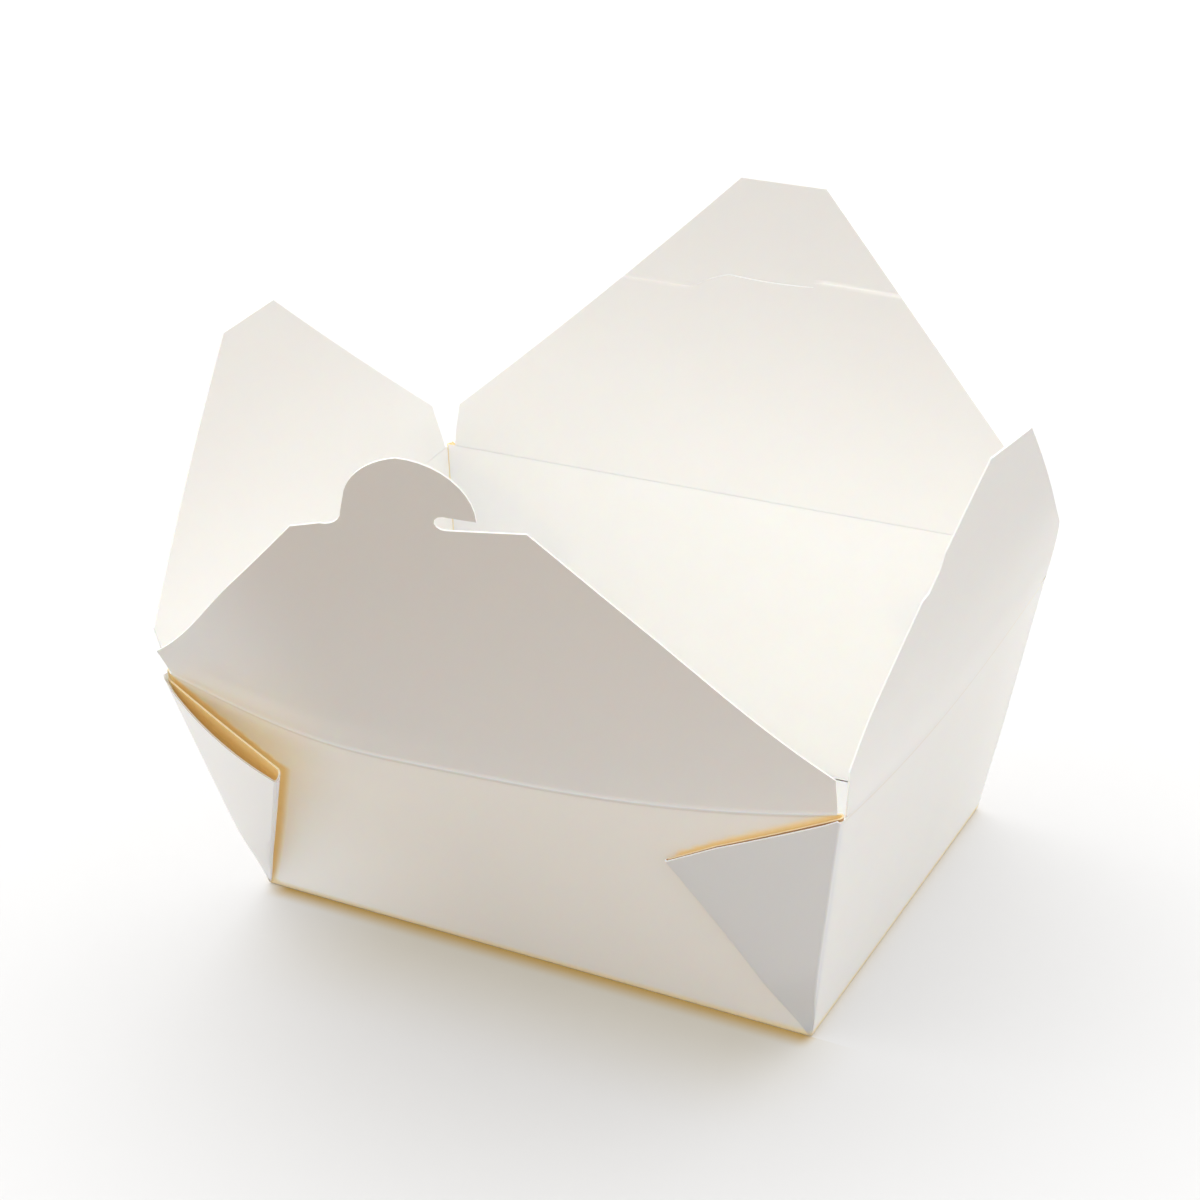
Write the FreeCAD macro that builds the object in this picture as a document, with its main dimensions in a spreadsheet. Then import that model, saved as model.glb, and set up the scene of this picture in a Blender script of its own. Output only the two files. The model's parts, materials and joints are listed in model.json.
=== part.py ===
import FreeCAD, Part
import os
import Sketcher

# A takeaway box folded from one blank of coated board: a tapered tray whose corner gussets lie
# against the front and back walls, and four lid flaps on its rim creases.
# Millimetres. Origin under the middle of the base, front wall towards -Y, up is +Z.
# Each flap is drawn upright in its own frame, whose origin is the middle of its crease, and leans out.

os.makedirs("parts", exist_ok=True)
doc = FreeCAD.newDocument("takeaway_box")
dims = doc.addObject("Spreadsheet::Sheet", "dims")

DRIVING = {
    "board": "0.45",
    "base_width": "152",
    "base_depth": "114",
    "rim_width": "178",
    "rim_depth": "149",
    "wall_height": "70",
    "base_skew": "4",
    "back_crease_lift": "0.7",
    "front_crease_lift": "1.4",
    "rim_step": "0.9",
    "front_bow": "7",
    "front_dip": "8",
    "right_bow": "2.4",
    "right_dip": "3",
    "crease_gap": "0.7",
    "gusset_reach": "39",
    "gusset_tip_height": "46.7",
    "gusset_kink_reach": "30",
    "gusset_kink_height": "54.3",
    "gusset_corner_drop": "1.5",
    "loose_gusset_angle": "25",
    "loose_gusset_tip_height": "53",
    "loose_gusset_bulge": "3",
    "loose_pocket_start": "0.25",
    "loose_pocket_margin": "2.2",
    "front_lean": "23.3",
    "front_twist": "12",
    "front_flap_height": "76",
    "front_top_width": "53.5",
    "front_side_edge": "10",
    "front_inset": "1",
    "front_tip_bow": "2",
    "hook_height": "21.7",
    "hook_foot": "15",
    "hook_foot_rise": "4.2",
    "hook_side": "12.5",
    "hook_side_rise": "11",
    "hook_fillet": "6",
    "hook_crown": "1.5",
    "hook_slot_end": "6.2",
    "hook_slot_foot": "8.5",
    "back_lean": "22.7",
    "back_flap_height": "86",
    "back_top_width": "24.8",
    "back_side_edge": "11.7",
    "back_inset": "2.6",
    "lock_score_low": "55",
    "lock_score_high": "61.5",
    "lock_slit_left": "20.5",
    "lock_slit_right": "15.3",
    "lock_slit_crown": "8",
    "lock_slit_rise": "5.3",
    "lock_slit_width": "0.5",
    "score_width": "0.8",
    "score_depth": "0.15",
    "left_lean": "13.2",
    "right_lean": "9.7",
    "side_flap_height": "65",
    "side_top_width": "24.8",
    "side_side_edge": "11.5",
    "side_inset": "1.6",
    "nick_start": "32.3",
    "nick_length": "9",
    "nick_depth": "2",
}

WORKED_OUT = {
    "rim_top": "=wall_height + front_crease_lift",
    "back_rim": "=wall_height + back_crease_lift",
    "half_rim": "=rim_width / 2",
    "half_depth": "=rim_depth / 2",
    "half_base": "=base_width / 2",
    "half_base_depth": "=base_depth / 2",
    "width_taper": "=half_rim - half_base",
    "depth_taper": "=half_depth - half_base_depth",
    "floor_width": "=half_base + width_taper * board / rim_top - board",
    "floor_depth": "=half_base_depth + depth_taper * board / rim_top - board",
    # the front edge of the base runs askew: nearer at the right corner than at the left
    "base_front_left": "=base_skew - half_base_depth",
    "base_front_right": "=0 - base_skew - half_base_depth",
    "far": "=rim_width + rim_depth",
    "gap_half": "=crease_gap / 2",
    # where the middle of the bowed front and right creases ends up after the rim is cut
    "front_out": "=front_bow * (1 - front_dip / rim_top) - depth_taper * front_dip / rim_top",
    "right_out": "=right_bow * (1 - right_dip / wall_height) - width_taper * right_dip / wall_height",
    "front_axis_y": "=board / 2 - half_depth",
    "front_axis_z": "=rim_top + gap_half",
    "back_axis_y": "=half_depth - board / 2 - depth_taper * (rim_top - back_rim) / rim_top",
    "back_axis_z": "=back_rim + gap_half",
    "side_axis_x": "=half_rim - board / 2 - width_taper * front_crease_lift / rim_top",
    "side_axis_z": "=wall_height + gap_half",
    # the same creases seen in the frame of the leaning flap
    "front_arch": "=front_out * cos(front_lean * 1 deg) + front_dip * sin(front_lean * 1 deg)",
    "front_drop": "=front_dip * cos(front_lean * 1 deg) - front_out * sin(front_lean * 1 deg)",
    "right_arch": "=right_out * cos(right_lean * 1 deg) + right_dip * sin(right_lean * 1 deg)",
    "right_drop": "=right_dip * cos(right_lean * 1 deg) - right_out * sin(right_lean * 1 deg)",
    "front_end": "=half_rim - front_inset",
    "back_end": "=half_rim - back_inset",
    "side_end": "=half_depth - side_inset",
    "front_low": "=front_drop + crease_gap * 3",
    "front_high": "=front_flap_height + hook_height + crease_gap * 3",
    "right_low": "=right_drop + crease_gap * 3",
    "right_high": "=side_flap_height + crease_gap * 3",
    "front_swing": "=half_rim * sin(front_twist * 1 deg)",
    "front_swing_low": "=front_swing * front_low / front_high",
    "front_top": "=front_top_width / 2",
    "back_top": "=back_top_width / 2",
    "side_top": "=side_top_width / 2",
    "side_slope": "=(side_flap_height - side_side_edge) / (side_end - side_top)",
    "nick_high": "=side_side_edge + side_slope * (side_end - nick_start)",
    "nick_low": "=nick_high - side_slope * nick_length",
    "nick_middle_reach": "=nick_start + nick_length * 0.3 - nick_depth * 0.2",
    "nick_middle_height": "=nick_high - side_slope * nick_length * 0.3 - nick_depth * 1.15",
    "lock_score_end_low": "=back_end - lock_score_low + back_side_edge + back_inset",
    "lock_score_end_high": "=back_end - lock_score_high + back_side_edge + back_inset",
    "loose_cos": "=cos(loose_gusset_angle * 1 deg)",
    "loose_sin": "=sin(loose_gusset_angle * 1 deg)",
    "loose_span": "=gusset_reach * 1.3",
    "loose_thick": "=board * 2",
    "loose_pocket_level": "=rim_top * loose_pocket_start",
    "loose_pocket_x": "=0 - half_base - width_taper * loose_pocket_start",
    "loose_pocket_y": "=base_front_left * (1 - loose_pocket_start) - half_depth * loose_pocket_start",
    "loose_pocket_high": "=gusset_reach * rim_top / loose_gusset_tip_height - loose_pocket_margin",
    "loose_pocket_low": "=gusset_reach * loose_pocket_level / loose_gusset_tip_height - loose_pocket_margin",
    "loose_bulge_low": "=4 * loose_gusset_bulge * loose_pocket_start * loose_pocket_low / loose_span / 2",
}

for row, (name, value) in enumerate(list(DRIVING.items()) + list(WORKED_OUT.items()), start=1):
    cell = f"B{row}"
    dims.set(f"A{row}", name)
    dims.set(cell, value)
    dims.setAlias(cell, name)
doc.recompute()

WORDS = sorted(list(DRIVING) + list(WORKED_OUT), key=len, reverse=True)


def bound(text):
    """Turn plain names of sizes in a formula into references to the sheet."""
    out = []
    for token in text.replace("(", " ( ").replace(")", " ) ").split():
        sign = ""
        if token.startswith("-") and token[1:] in WORDS:
            sign = "-"
            token = token[1:]
        out.append(sign + "dims." + token if token in WORDS else token)
    return " ".join(out)


def number(text):
    """The value of a formula now, as a plain number."""
    return float(dims.evalExpression(bound(text)))


def new_body(label):
    body = doc.addObject("PartDesign::Body", label)
    body.Label = label
    return body


def plane_of(body, role):
    return [f for f in body.Origin.OriginFeatures if f.Role == role][0]


def ccw_arc(start, middle, end):
    """An arc through three points, and whether its ends had to swap to run counter-clockwise."""
    turn = (middle - start).cross(end - middle).z
    if turn > 0:
        return Part.ArcOfCircle(start, middle, end), False
    return Part.ArcOfCircle(end, middle, start), True


def outline(body, name, role, vertices, level=None, loops=None):
    """A closed sketch. A vertex is (x, y) for a straight edge to the next one,
    or (x, y, x_middle, y_middle) for an arc through that middle point."""
    sketch = body.newObject("Sketcher::SketchObject", name)
    sketch.AttachmentSupport = [(plane_of(body, role), "")]
    sketch.MapMode = "FlatFace"
    if level:
        sketch.setExpression("AttachmentOffset.Base.z", bound(level))
    for loop in [vertices] + (loops or []):
        add_loop(sketch, loop)
    return sketch


def pin(sketch, geometry, end, x, y):
    """Hold one point of a sketch at two formulas."""
    for kind, text in (("DistanceX", x), ("DistanceY", y)):
        index = sketch.addConstraint(Sketcher.Constraint(kind, -1, 1, geometry, end, number(text)))
        sketch.setExpression(f"Constraints[{index}]", bound(text))


def add_loop(sketch, vertices):
    points = [FreeCAD.Vector(number(v[0]), number(v[1]), 0) for v in vertices]
    ends = []
    for i, vertex in enumerate(vertices):
        start = points[i]
        end = points[(i + 1) % len(points)]
        if len(vertex) == 2:
            index = sketch.addGeometry(Part.LineSegment(start, end), False)
            ends.append((index, 1, 2))
            continue
        middle = FreeCAD.Vector(number(vertex[2]), number(vertex[3]), 0)
        arc, swapped = ccw_arc(start, middle, end)
        index = sketch.addGeometry(arc, False)
        ends.append((index, 2, 1) if swapped else (index, 1, 2))
        dot = sketch.addGeometry(Part.Point(middle), True)
        sketch.addConstraint(Sketcher.Constraint("PointOnObject", dot, 1, index))
        pin(sketch, dot, 1, vertex[2], vertex[3])
    for i, vertex in enumerate(vertices):
        here = ends[i]
        after = ends[(i + 1) % len(ends)]
        sketch.addConstraint(Sketcher.Constraint("Coincident", here[0], here[2], after[0], after[1]))
        pin(sketch, here[0], here[1], vertex[0], vertex[1])


def loft(body, name, kind, first, second):
    feature = body.newObject(kind, name)
    feature.Profile = first
    feature.Sections = [second]
    feature.Ruled = True
    first.Visibility = False
    second.Visibility = False
    return feature


def pad(body, name, sketch, length):
    feature = body.newObject("PartDesign::Pad", name)
    feature.Profile = sketch
    feature.SideType = "Symmetric"
    feature.setExpression("Length", bound(length))
    return feature


def cut_through(body, name, sketch, reverse=None):
    """A pocket through everything: both ways, or one way when reverse is True or False."""
    feature = body.newObject("PartDesign::Pocket", name)
    feature.Profile = sketch
    feature.Type = "ThroughAll"
    if reverse is None:
        feature.SideType = "Symmetric"
    else:
        feature.Reversed = reverse
    return feature


def cut_depth(body, name, sketch, depth, reverse=False):
    feature = body.newObject("PartDesign::Pocket", name)
    feature.Profile = sketch
    feature.setExpression("Length", bound(depth))
    feature.Reversed = reverse
    return feature


def keep_inside(body, name, role, vertices):
    """Cut away all that lies outside a closed outline."""
    frame = [("-far", "-far"), ("far", "-far"), ("far", "far"), ("-far", "far")]
    sketch = outline(body, name + "_outline", role, frame, None, [vertices])
    return cut_through(body, name, sketch)


# The tray: a ruled skin from the flat base to a rim whose front and right sides bow outwards
tray = new_body("tray_walls")
loft(
    tray,
    "tray_outside",
    "PartDesign::AdditiveLoft",
    outline(tray, "tray_base_outline", "XY_Plane", [
        ("-half_base", "base_front_left"),
        ("half_base", "base_front_right"),
        ("half_base", "half_base_depth"),
        ("-half_base", "half_base_depth"),
    ]),
    outline(tray, "tray_rim_outline", "XY_Plane", [
        ("-half_rim", "-half_depth", "0", "-half_depth - front_bow"),
        ("half_rim", "-half_depth", "half_rim + right_bow", "0"),
        ("half_rim", "half_depth"),
        ("-half_rim", "half_depth"),
    ], "rim_top"),
)
loft(
    tray,
    "tray_inside",
    "PartDesign::SubtractiveLoft",
    outline(tray, "tray_floor_outline", "XY_Plane", [
        ("-floor_width", "base_skew - floor_depth"),
        ("floor_width", "0 - base_skew - floor_depth"),
        ("floor_width", "floor_depth"),
        ("-floor_width", "floor_depth"),
    ], "board"),
    outline(tray, "tray_mouth_outline", "XY_Plane", [
        ("board - half_rim", "board - half_depth", "0", "board - half_depth - front_bow"),
        ("half_rim - board", "board - half_depth", "half_rim + right_bow - board", "0"),
        ("half_rim - board", "half_depth - board"),
        ("board - half_rim", "half_depth - board"),
    ], "rim_top"),
)
# The rim creases sit at slightly different heights, as the flaps close in layers
cut_through(tray, "front_rim_cut", outline(tray, "front_rim_outline", "XZ_Plane", [
    ("-half_rim", "rim_top", "0", "rim_top - front_dip"),
    ("half_rim", "rim_top"),
    ("half_rim", "rim_top + wall_height"),
    ("-half_rim", "rim_top + wall_height"),
]), True)
cut_through(tray, "back_rim_cut", outline(tray, "back_rim_outline", "XZ_Plane", [
    ("rim_step - half_rim", "back_rim"),
    ("half_rim - rim_step", "back_rim"),
    ("half_rim - rim_step", "rim_top + wall_height"),
    ("rim_step - half_rim", "rim_top + wall_height"),
]), False)
cut_through(tray, "right_rim_cut", outline(tray, "right_rim_outline", "YZ_Plane", [
    ("rim_step - half_depth", "wall_height", "0", "wall_height - right_dip"),
    ("half_depth - rim_step", "wall_height"),
    ("half_depth - rim_step", "rim_top + wall_height"),
    ("rim_step - half_depth", "rim_top + wall_height"),
]), True)
cut_through(tray, "left_rim_cut", outline(tray, "left_rim_outline", "YZ_Plane", [
    ("rim_step - half_depth", "wall_height"),
    ("half_depth - rim_step", "wall_height"),
    ("half_depth - rim_step", "rim_top + wall_height"),
    ("rim_step - half_depth", "rim_top + wall_height"),
]), False)


def gusset_outline(side, tip_height):
    """The folded corner web: corner edge, cut top edge with its kink, and diagonal fold."""
    def place(reach, height):
        x = f"half_base + width_taper * {height} / rim_top - {reach}"
        return (x if side > 0 else f"0 - ( {x} )", height)
    corner = "wall_height - gusset_corner_drop"
    top = (
        f"half_base + width_taper * ( {corner} ) / rim_top" if side > 0
        else f"0 - ( half_base + width_taper * ( {corner} ) / rim_top )",
        corner,
    )
    foot = ("half_base" if side > 0 else "-half_base", "board")
    return [foot, top, place("gusset_kink_reach", "gusset_kink_height"), place("gusset_reach", tip_height)]


def flat_gusset(label, face, side):
    """Two layers of board folded flat onto the front (face -1) or back (face 1) wall."""
    body = new_body(label)

    def band(name, width, left, right, bulge, level):
        """A strip along the wall from half a board inside its face to two boards outside it."""
        inner = f"{'' if face > 0 else '0 - '}( {{0}} - board / 2 )"
        outer = f"{'' if face > 0 else '0 - '}( {{0}} + board * 2 )"
        corners = [
            (f"-{width}", outer.format(left)),
            (width, outer.format(right)),
            (width, inner.format(right)),
            (f"-{width}", inner.format(left)),
        ]
        if bulge:
            corners[0] += ("0", f"{outer.format(left)} - {bulge}")
            corners[2] += ("0", f"{inner.format(left)} - {bulge}")
        return outline(body, name, "XY_Plane", corners, level)

    skew = "base_skew" if face < 0 else "0"
    loft(
        body,
        label + "_layers",
        "PartDesign::AdditiveLoft",
        band(label + "_foot", "half_base", f"half_base_depth - {skew}", f"half_base_depth + {skew}", None, None),
        band(label + "_head", "half_rim", "half_depth", "half_depth", "front_bow" if face < 0 else None, "rim_top"),
    )
    keep_inside(body, label + "_cut", "XZ_Plane", gusset_outline(side, "gusset_tip_height"))
    return body


def loose_gusset(label):
    """The front left web, which has sprung open: its outer layer bulges away from its inner one."""
    body = new_body(label)

    def spot(x, y, along, across):
        """A point at a distance along the web from the corner edge, and across it towards the wall."""
        return (
            f"{x} + {along} * loose_cos + ( {across} ) * loose_sin",
            f"{y} - {along} * loose_sin + ( {across} ) * loose_cos",
        )

    def band(name, x, y, bulge, level):
        corners = [
            spot(x, y, "0", "0"),
            spot(x, y, "loose_span", "0"),
            spot(x, y, "loose_span", "loose_thick"),
            spot(x, y, "0", "loose_thick"),
        ]
        if bulge:
            corners[0] += spot(x, y, "loose_span / 2", f"0 - {bulge}")
        return outline(body, name, "XY_Plane", corners, level)

    def hollow(name, x, y, reach, bulge, level):
        start = spot(x, y, "loose_pocket_margin / 2", "board")
        end = spot(x, y, reach, "board")
        middle = spot(x, y, f"( loose_pocket_margin / 4 + {reach} / 2 )", f"board - {bulge}")
        return outline(body, name, "XY_Plane", [start + middle, end], level)

    loft(
        body,
        label + "_layers",
        "PartDesign::AdditiveLoft",
        band(label + "_foot", "-half_base", "base_front_left", None, None),
        band(label + "_head", "-half_rim", "-half_depth", "loose_gusset_bulge", "rim_top"),
    )
    loft(
        body,
        label + "_hollow",
        "PartDesign::SubtractiveLoft",
        hollow(
            label + "_hollow_foot",
            "loose_pocket_x",
            "loose_pocket_y",
            "loose_pocket_low",
            "loose_bulge_low",
            "loose_pocket_level",
        ),
        hollow(
            label + "_hollow_head",
            "-half_rim",
            "-half_depth",
            "loose_pocket_high",
            "loose_gusset_bulge",
            "rim_top",
        ),
    )
    keep_inside(body, label + "_cut", "XZ_Plane", [
        ("-half_base", "board"),
        (
            "0 - half_base - width_taper * loose_gusset_tip_height / rim_top + gusset_reach * loose_cos",
            "loose_gusset_tip_height",
        ),
        (
            "0 - half_base - width_taper * ( wall_height - gusset_corner_drop ) / rim_top",
            "wall_height - gusset_corner_drop",
        ),
    ])
    return body


folded = doc.addObject("Part::MultiFuse", "carton_body")
folded.Label = "carton_body"
folded.Shapes = [
    tray,
    flat_gusset("gusset_front_right", -1, 1),
    loose_gusset("gusset_front_left"),
    flat_gusset("gusset_back_right", 1, 1),
    flat_gusset("gusset_back_left", 1, -1),
]
folded.Refine = True


def lean(body, axis, angle, x, y, z):
    """Stand a flap on its crease and lean it outwards."""
    turn = FreeCAD.Rotation(axis, number(angle))
    body.Placement = FreeCAD.Placement(FreeCAD.Vector(number(x), number(y), number(z)), turn)
    body.setExpression("Placement.Rotation.Angle", bound(angle) + " * 1 deg")
    body.setExpression("Placement.Base.x", bound(x))
    body.setExpression("Placement.Base.y", bound(y))
    body.setExpression("Placement.Base.z", bound(z))


# Front flap: bowed along its crease, twisted towards its tip, with the hook of the lock
front = new_body("front_flap")
loft(
    front,
    "front_flap_sheet",
    "PartDesign::AdditiveLoft",
    outline(front, "front_flap_low", "XY_Plane", [
        ("-half_rim", "front_swing_low - board / 2", "0", "0 - front_arch - board / 2"),
        ("half_rim", "0 - front_swing_low - board / 2"),
        ("half_rim", "board / 2 - front_swing_low", "0", "board / 2 - front_arch"),
        ("-half_rim", "board / 2 + front_swing_low"),
    ], "-front_low"),
    outline(front, "front_flap_high", "XY_Plane", [
        ("-half_rim", "0 - front_swing - board / 2", "0", "0 - front_tip_bow - board / 2"),
        ("half_rim", "front_swing - board / 2"),
        ("half_rim", "front_swing + board / 2", "0", "board / 2 - front_tip_bow"),
        ("-half_rim", "board / 2 - front_swing"),
    ], "front_high"),
)
keep_inside(front, "front_flap_cut", "XZ_Plane", [
    ("-front_end", "gap_half", "0", "gap_half - front_drop"),
    ("front_end", "gap_half"),
    ("front_end", "front_side_edge"),
    ("front_top", "front_flap_height"),
    (
        "hook_slot_foot",
        "front_flap_height",
        "hook_slot_end",
        "front_flap_height + hook_foot_rise / 2",
    ),
    ("hook_slot_foot", "front_flap_height + hook_foot_rise"),
    (
        "hook_foot",
        "front_flap_height + hook_foot_rise",
        "hook_foot * 0.77",
        "front_flap_height + hook_height * 0.76",
    ),
    (
        "hook_crown",
        "front_flap_height + hook_height",
        "0 - hook_side * 0.68",
        "front_flap_height + hook_height * 0.78",
    ),
    ("-hook_side", "front_flap_height + hook_side_rise"),
    (
        "-hook_foot",
        "front_flap_height + hook_foot_rise",
        "0 - hook_foot - hook_fillet * 0.3",
        "front_flap_height + hook_foot_rise * 0.27",
    ),
    ("0 - hook_foot - hook_fillet", "front_flap_height"),
    ("-front_top", "front_flap_height"),
    ("-front_end", "front_side_edge"),
])
lean(front, FreeCAD.Vector(1, 0, 0), "front_lean", "0", "front_axis_y", "front_axis_z")

# Back flap: flat, with the slit that the hook enters and a score on each side of it
back = new_body("back_flap")
pad(back, "back_flap_sheet", outline(back, "back_flap_outline", "XZ_Plane", [
    ("-back_end", "gap_half"),
    ("back_end", "gap_half"),
    ("back_end", "back_side_edge"),
    ("back_top", "back_flap_height"),
    ("-back_top", "back_flap_height"),
    ("-back_end", "back_side_edge"),
]), "board")
cut_through(back, "lock_slit", outline(back, "lock_slit_outline", "XZ_Plane", [
    (
        "-lock_slit_left",
        "lock_score_low",
        "-lock_slit_crown",
        "lock_score_low + lock_slit_rise",
    ),
    ("lock_slit_right", "lock_score_high"),
    (
        "lock_slit_right",
        "lock_score_high + lock_slit_width",
        "-lock_slit_crown",
        "lock_score_low + lock_slit_rise + lock_slit_width",
    ),
    ("-lock_slit_left", "lock_score_low + lock_slit_width"),
]))
cut_depth(back, "lock_score_left", outline(back, "lock_score_left_outline", "XZ_Plane", [
    ("-lock_score_end_low", "lock_score_low - score_width / 2"),
    ("0 - lock_slit_left - score_width", "lock_score_low - score_width / 2"),
    ("0 - lock_slit_left - score_width", "lock_score_low + score_width / 2"),
    ("-lock_score_end_low", "lock_score_low + score_width / 2"),
], "board / 2"), "score_depth")
cut_depth(back, "lock_score_right", outline(back, "lock_score_right_outline", "XZ_Plane", [
    ("lock_slit_right + score_width", "lock_score_high - score_width / 2"),
    ("lock_score_end_high", "lock_score_high - score_width / 2"),
    ("lock_score_end_high", "lock_score_high + score_width / 2"),
    ("lock_slit_right + score_width", "lock_score_high + score_width / 2"),
], "board / 2"), "score_depth")
lean(back, FreeCAD.Vector(-1, 0, 0), "back_lean", "0", "back_axis_y", "back_axis_z")

# Left flap: flat
left = new_body("left_flap")
pad(left, "left_flap_sheet", outline(left, "left_flap_outline", "YZ_Plane", [
    ("-side_end", "gap_half"),
    ("side_end", "gap_half"),
    ("side_end", "side_side_edge"),
    ("side_top", "side_flap_height"),
    ("-side_top", "side_flap_height"),
    ("-side_end", "side_side_edge"),
]), "board")
lean(left, FreeCAD.Vector(0, -1, 0), "left_lean", "-side_axis_x", "0", "side_axis_z")

# Right flap: bowed along its crease, with a small tear in its front slanted edge
right = new_body("right_flap")
loft(
    right,
    "right_flap_sheet",
    "PartDesign::AdditiveLoft",
    outline(right, "right_flap_low", "XY_Plane", [
        ("board / 2", "-half_depth", "right_arch + board / 2", "0"),
        ("board / 2", "half_depth"),
        ("0 - board / 2", "half_depth", "right_arch - board / 2", "0"),
        ("0 - board / 2", "-half_depth"),
    ], "-right_low"),
    outline(right, "right_flap_high", "XY_Plane", [
        ("board / 2", "-half_depth", "right_arch / 2 + board / 2", "0"),
        ("board / 2", "half_depth"),
        ("0 - board / 2", "half_depth", "right_arch / 2 - board / 2", "0"),
        ("0 - board / 2", "-half_depth"),
    ], "right_high"),
)
keep_inside(right, "right_flap_cut", "YZ_Plane", [
    ("-side_end", "gap_half", "0", "gap_half - right_drop"),
    ("side_end", "gap_half"),
    ("side_end", "side_side_edge"),
    ("side_top", "side_flap_height"),
    ("-side_top", "side_flap_height"),
    ("-nick_start", "nick_high"),
    ("-nick_middle_reach", "nick_middle_height"),
    ("0 - nick_start - nick_length", "nick_low"),
    ("-side_end", "side_side_edge"),
])
lean(right, FreeCAD.Vector(0, 1, 0), "right_lean", "side_axis_x", "0", "side_axis_z")

doc.recompute()

for item in doc.Objects:
    if "Invalid" in item.State or "Error" in item.State:
        raise RuntimeError(f"{item.Label} did not rebuild: {item.State}")

for item in (folded, front, back, left, right):
    shape = item.Shape
    if shape.isNull() or not shape.isValid():
        raise RuntimeError(f"{item.Label} has no sound shape")
    print(item.Label, len(shape.Solids), "solid", round(shape.Volume, 1), "mm3", shape.BoundBox)
    shape.exportStep(f"parts/{item.Label}.step")
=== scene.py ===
import json
import math

import bpy
from bpy.props import FloatProperty, FloatVectorProperty, PointerProperty
from mathutils import Matrix, Vector


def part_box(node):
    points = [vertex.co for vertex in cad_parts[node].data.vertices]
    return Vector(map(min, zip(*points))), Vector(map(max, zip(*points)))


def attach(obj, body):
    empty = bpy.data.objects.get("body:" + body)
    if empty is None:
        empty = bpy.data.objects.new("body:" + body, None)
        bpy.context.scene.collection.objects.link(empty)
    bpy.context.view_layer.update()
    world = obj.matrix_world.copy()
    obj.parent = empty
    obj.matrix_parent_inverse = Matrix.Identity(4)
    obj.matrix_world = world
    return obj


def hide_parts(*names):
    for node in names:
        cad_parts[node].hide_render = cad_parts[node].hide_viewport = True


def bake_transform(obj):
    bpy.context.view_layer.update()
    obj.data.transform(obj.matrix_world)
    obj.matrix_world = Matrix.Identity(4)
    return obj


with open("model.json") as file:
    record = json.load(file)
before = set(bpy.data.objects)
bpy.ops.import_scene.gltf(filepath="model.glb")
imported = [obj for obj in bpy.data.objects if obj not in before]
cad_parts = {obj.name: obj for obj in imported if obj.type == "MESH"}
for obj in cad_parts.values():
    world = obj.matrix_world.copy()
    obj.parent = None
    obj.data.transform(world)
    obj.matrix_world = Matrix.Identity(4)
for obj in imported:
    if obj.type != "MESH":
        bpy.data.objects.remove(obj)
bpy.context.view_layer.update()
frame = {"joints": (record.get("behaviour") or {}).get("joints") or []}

bl_info = {
    "name": "Takeaway box",
    "version": (1, 0, 0),
    "blender": (4, 5, 0),
    "location": "View3D > Sidebar > Takeaway box",
    "description": "An open takeaway box of coated board, with folded corner webs and four lid flaps",
    "category": "Object",
}

MM = 0.001
HINGES = {joint["child"]: Vector(joint["pos_m"]) for joint in frame["joints"]}
TRAY_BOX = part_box("carton_body")

# Columns of the tray's sheet: their pitch on the front and back walls, closer near the corners.
COLUMN_PITCH = 2.6 * MM
FINE_COLUMN_PITCH = 1.0 * MM
FINE_COLUMN_REACH = 42 * MM
SIDE_COLUMNS = 40
# Rows of the sheet: turns of the fold at the foot, and distances below the top in millimetres.
FOOT_TURNS = (90, 60, 30)
ROW_SPANS = (0.0, 0.25, 0.5, 0.8, 1.2, 1.8, 2.8, 4.5, 7.0)
TRAY_ROWS = 40
# Turns of a web's round folds in degrees, the turn over which the painted warm light in the tip's fold fades,
# and how round they are for their gap.
FOLD_STEPS = (30, 60, 90, 120, 150)
HALF_TURN = 180
WARM_TURN = 120
FLAT_FOLD = 1 / 2
LOOSE_FOLD = 1 / 4
LAYER_STEPS = 12
CORNER_SHARES = (0.0, 0.2, 0.4, 0.6, 0.8, 1.0)
SPREAD_PART = 0.35
# How steeply the creases and the light through a wall change towards an end.
LEFT_LOW_POWER = 3
RIGHT_LOW_POWER = 4
RIGHT_LIT_POWER = 3
CREASE_ROUNDS = 6
# Distances within which points are one, in the tray's sheet and in a flap's blank.
TRAY_WELD = 0.004 * MM
BLANK_WELD = 0.02 * MM
LEVEL_SLACK = 0.01 * MM
SMOOTH_ANGLE = math.radians(38)
# Places of the materials on a piece.
INSIDE_SLOT = 1
EDGE_SLOT = 2
# A blank's levels: how high the fine ones reach, their pitch and the pitch above. Then the pitch across.
CREASE_SPANS = (0.25, 0.5, 0.8, 1.2)
FRONT_LEVELS = (16 * MM, 1 * MM, 3 * MM)
RIGHT_LEVELS = (9 * MM, 0.6 * MM, 4 * MM)
PLAIN_LEVELS = (6 * MM, 0.5 * MM, 4 * MM)
FRONT_PITCH = 3.5 * MM
PLAIN_PITCH = 4 * MM
LEFT_SCORE_LEVELS = (-2, -1, 0, 1, 2)
RIGHT_SCORE_LEVELS = (-2.5, -1.5, -0.5, 0.5, 1.5)
# Heights over which a flap eases into its crease, and over which the crease's dip runs out.
FRONT_SETTLE = 10 * MM
PLAIN_SETTLE = 6 * MM
DIP_RUN_OUT = 50 * MM
# How far past its crease and its tip the front flap's bow is reckoned.
BOW_MARGIN = 2.1 * MM
# Middles of the hook's arcs: shares of its half width, or its foot's, and of its height.
HOOK_RIGHT_ARC = (0.77, 0.76)
HOOK_LEFT_ARC = (0.68, 0.78)
HOOK_FOOT_ARC = (0.3, 0.27)
ARC_STEPS = 8
SLOT_STEPS = 6
HOOK_STEPS = 10
# The slit's shoulder as a share of its rise, and the blade's depth in thicknesses of the board.
SLIT_SHOULDER = 0.62
SLIT_RIGHT_STEPS = 10
BLADE_DEPTH = 4
SCORE_FADE = 2 * MM
# Strength of the painted highlight along the left and the right score.
LEFT_SCORE_HIGHLIGHT = 0.4
RIGHT_SCORE_HIGHLIGHT = 0.75
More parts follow.
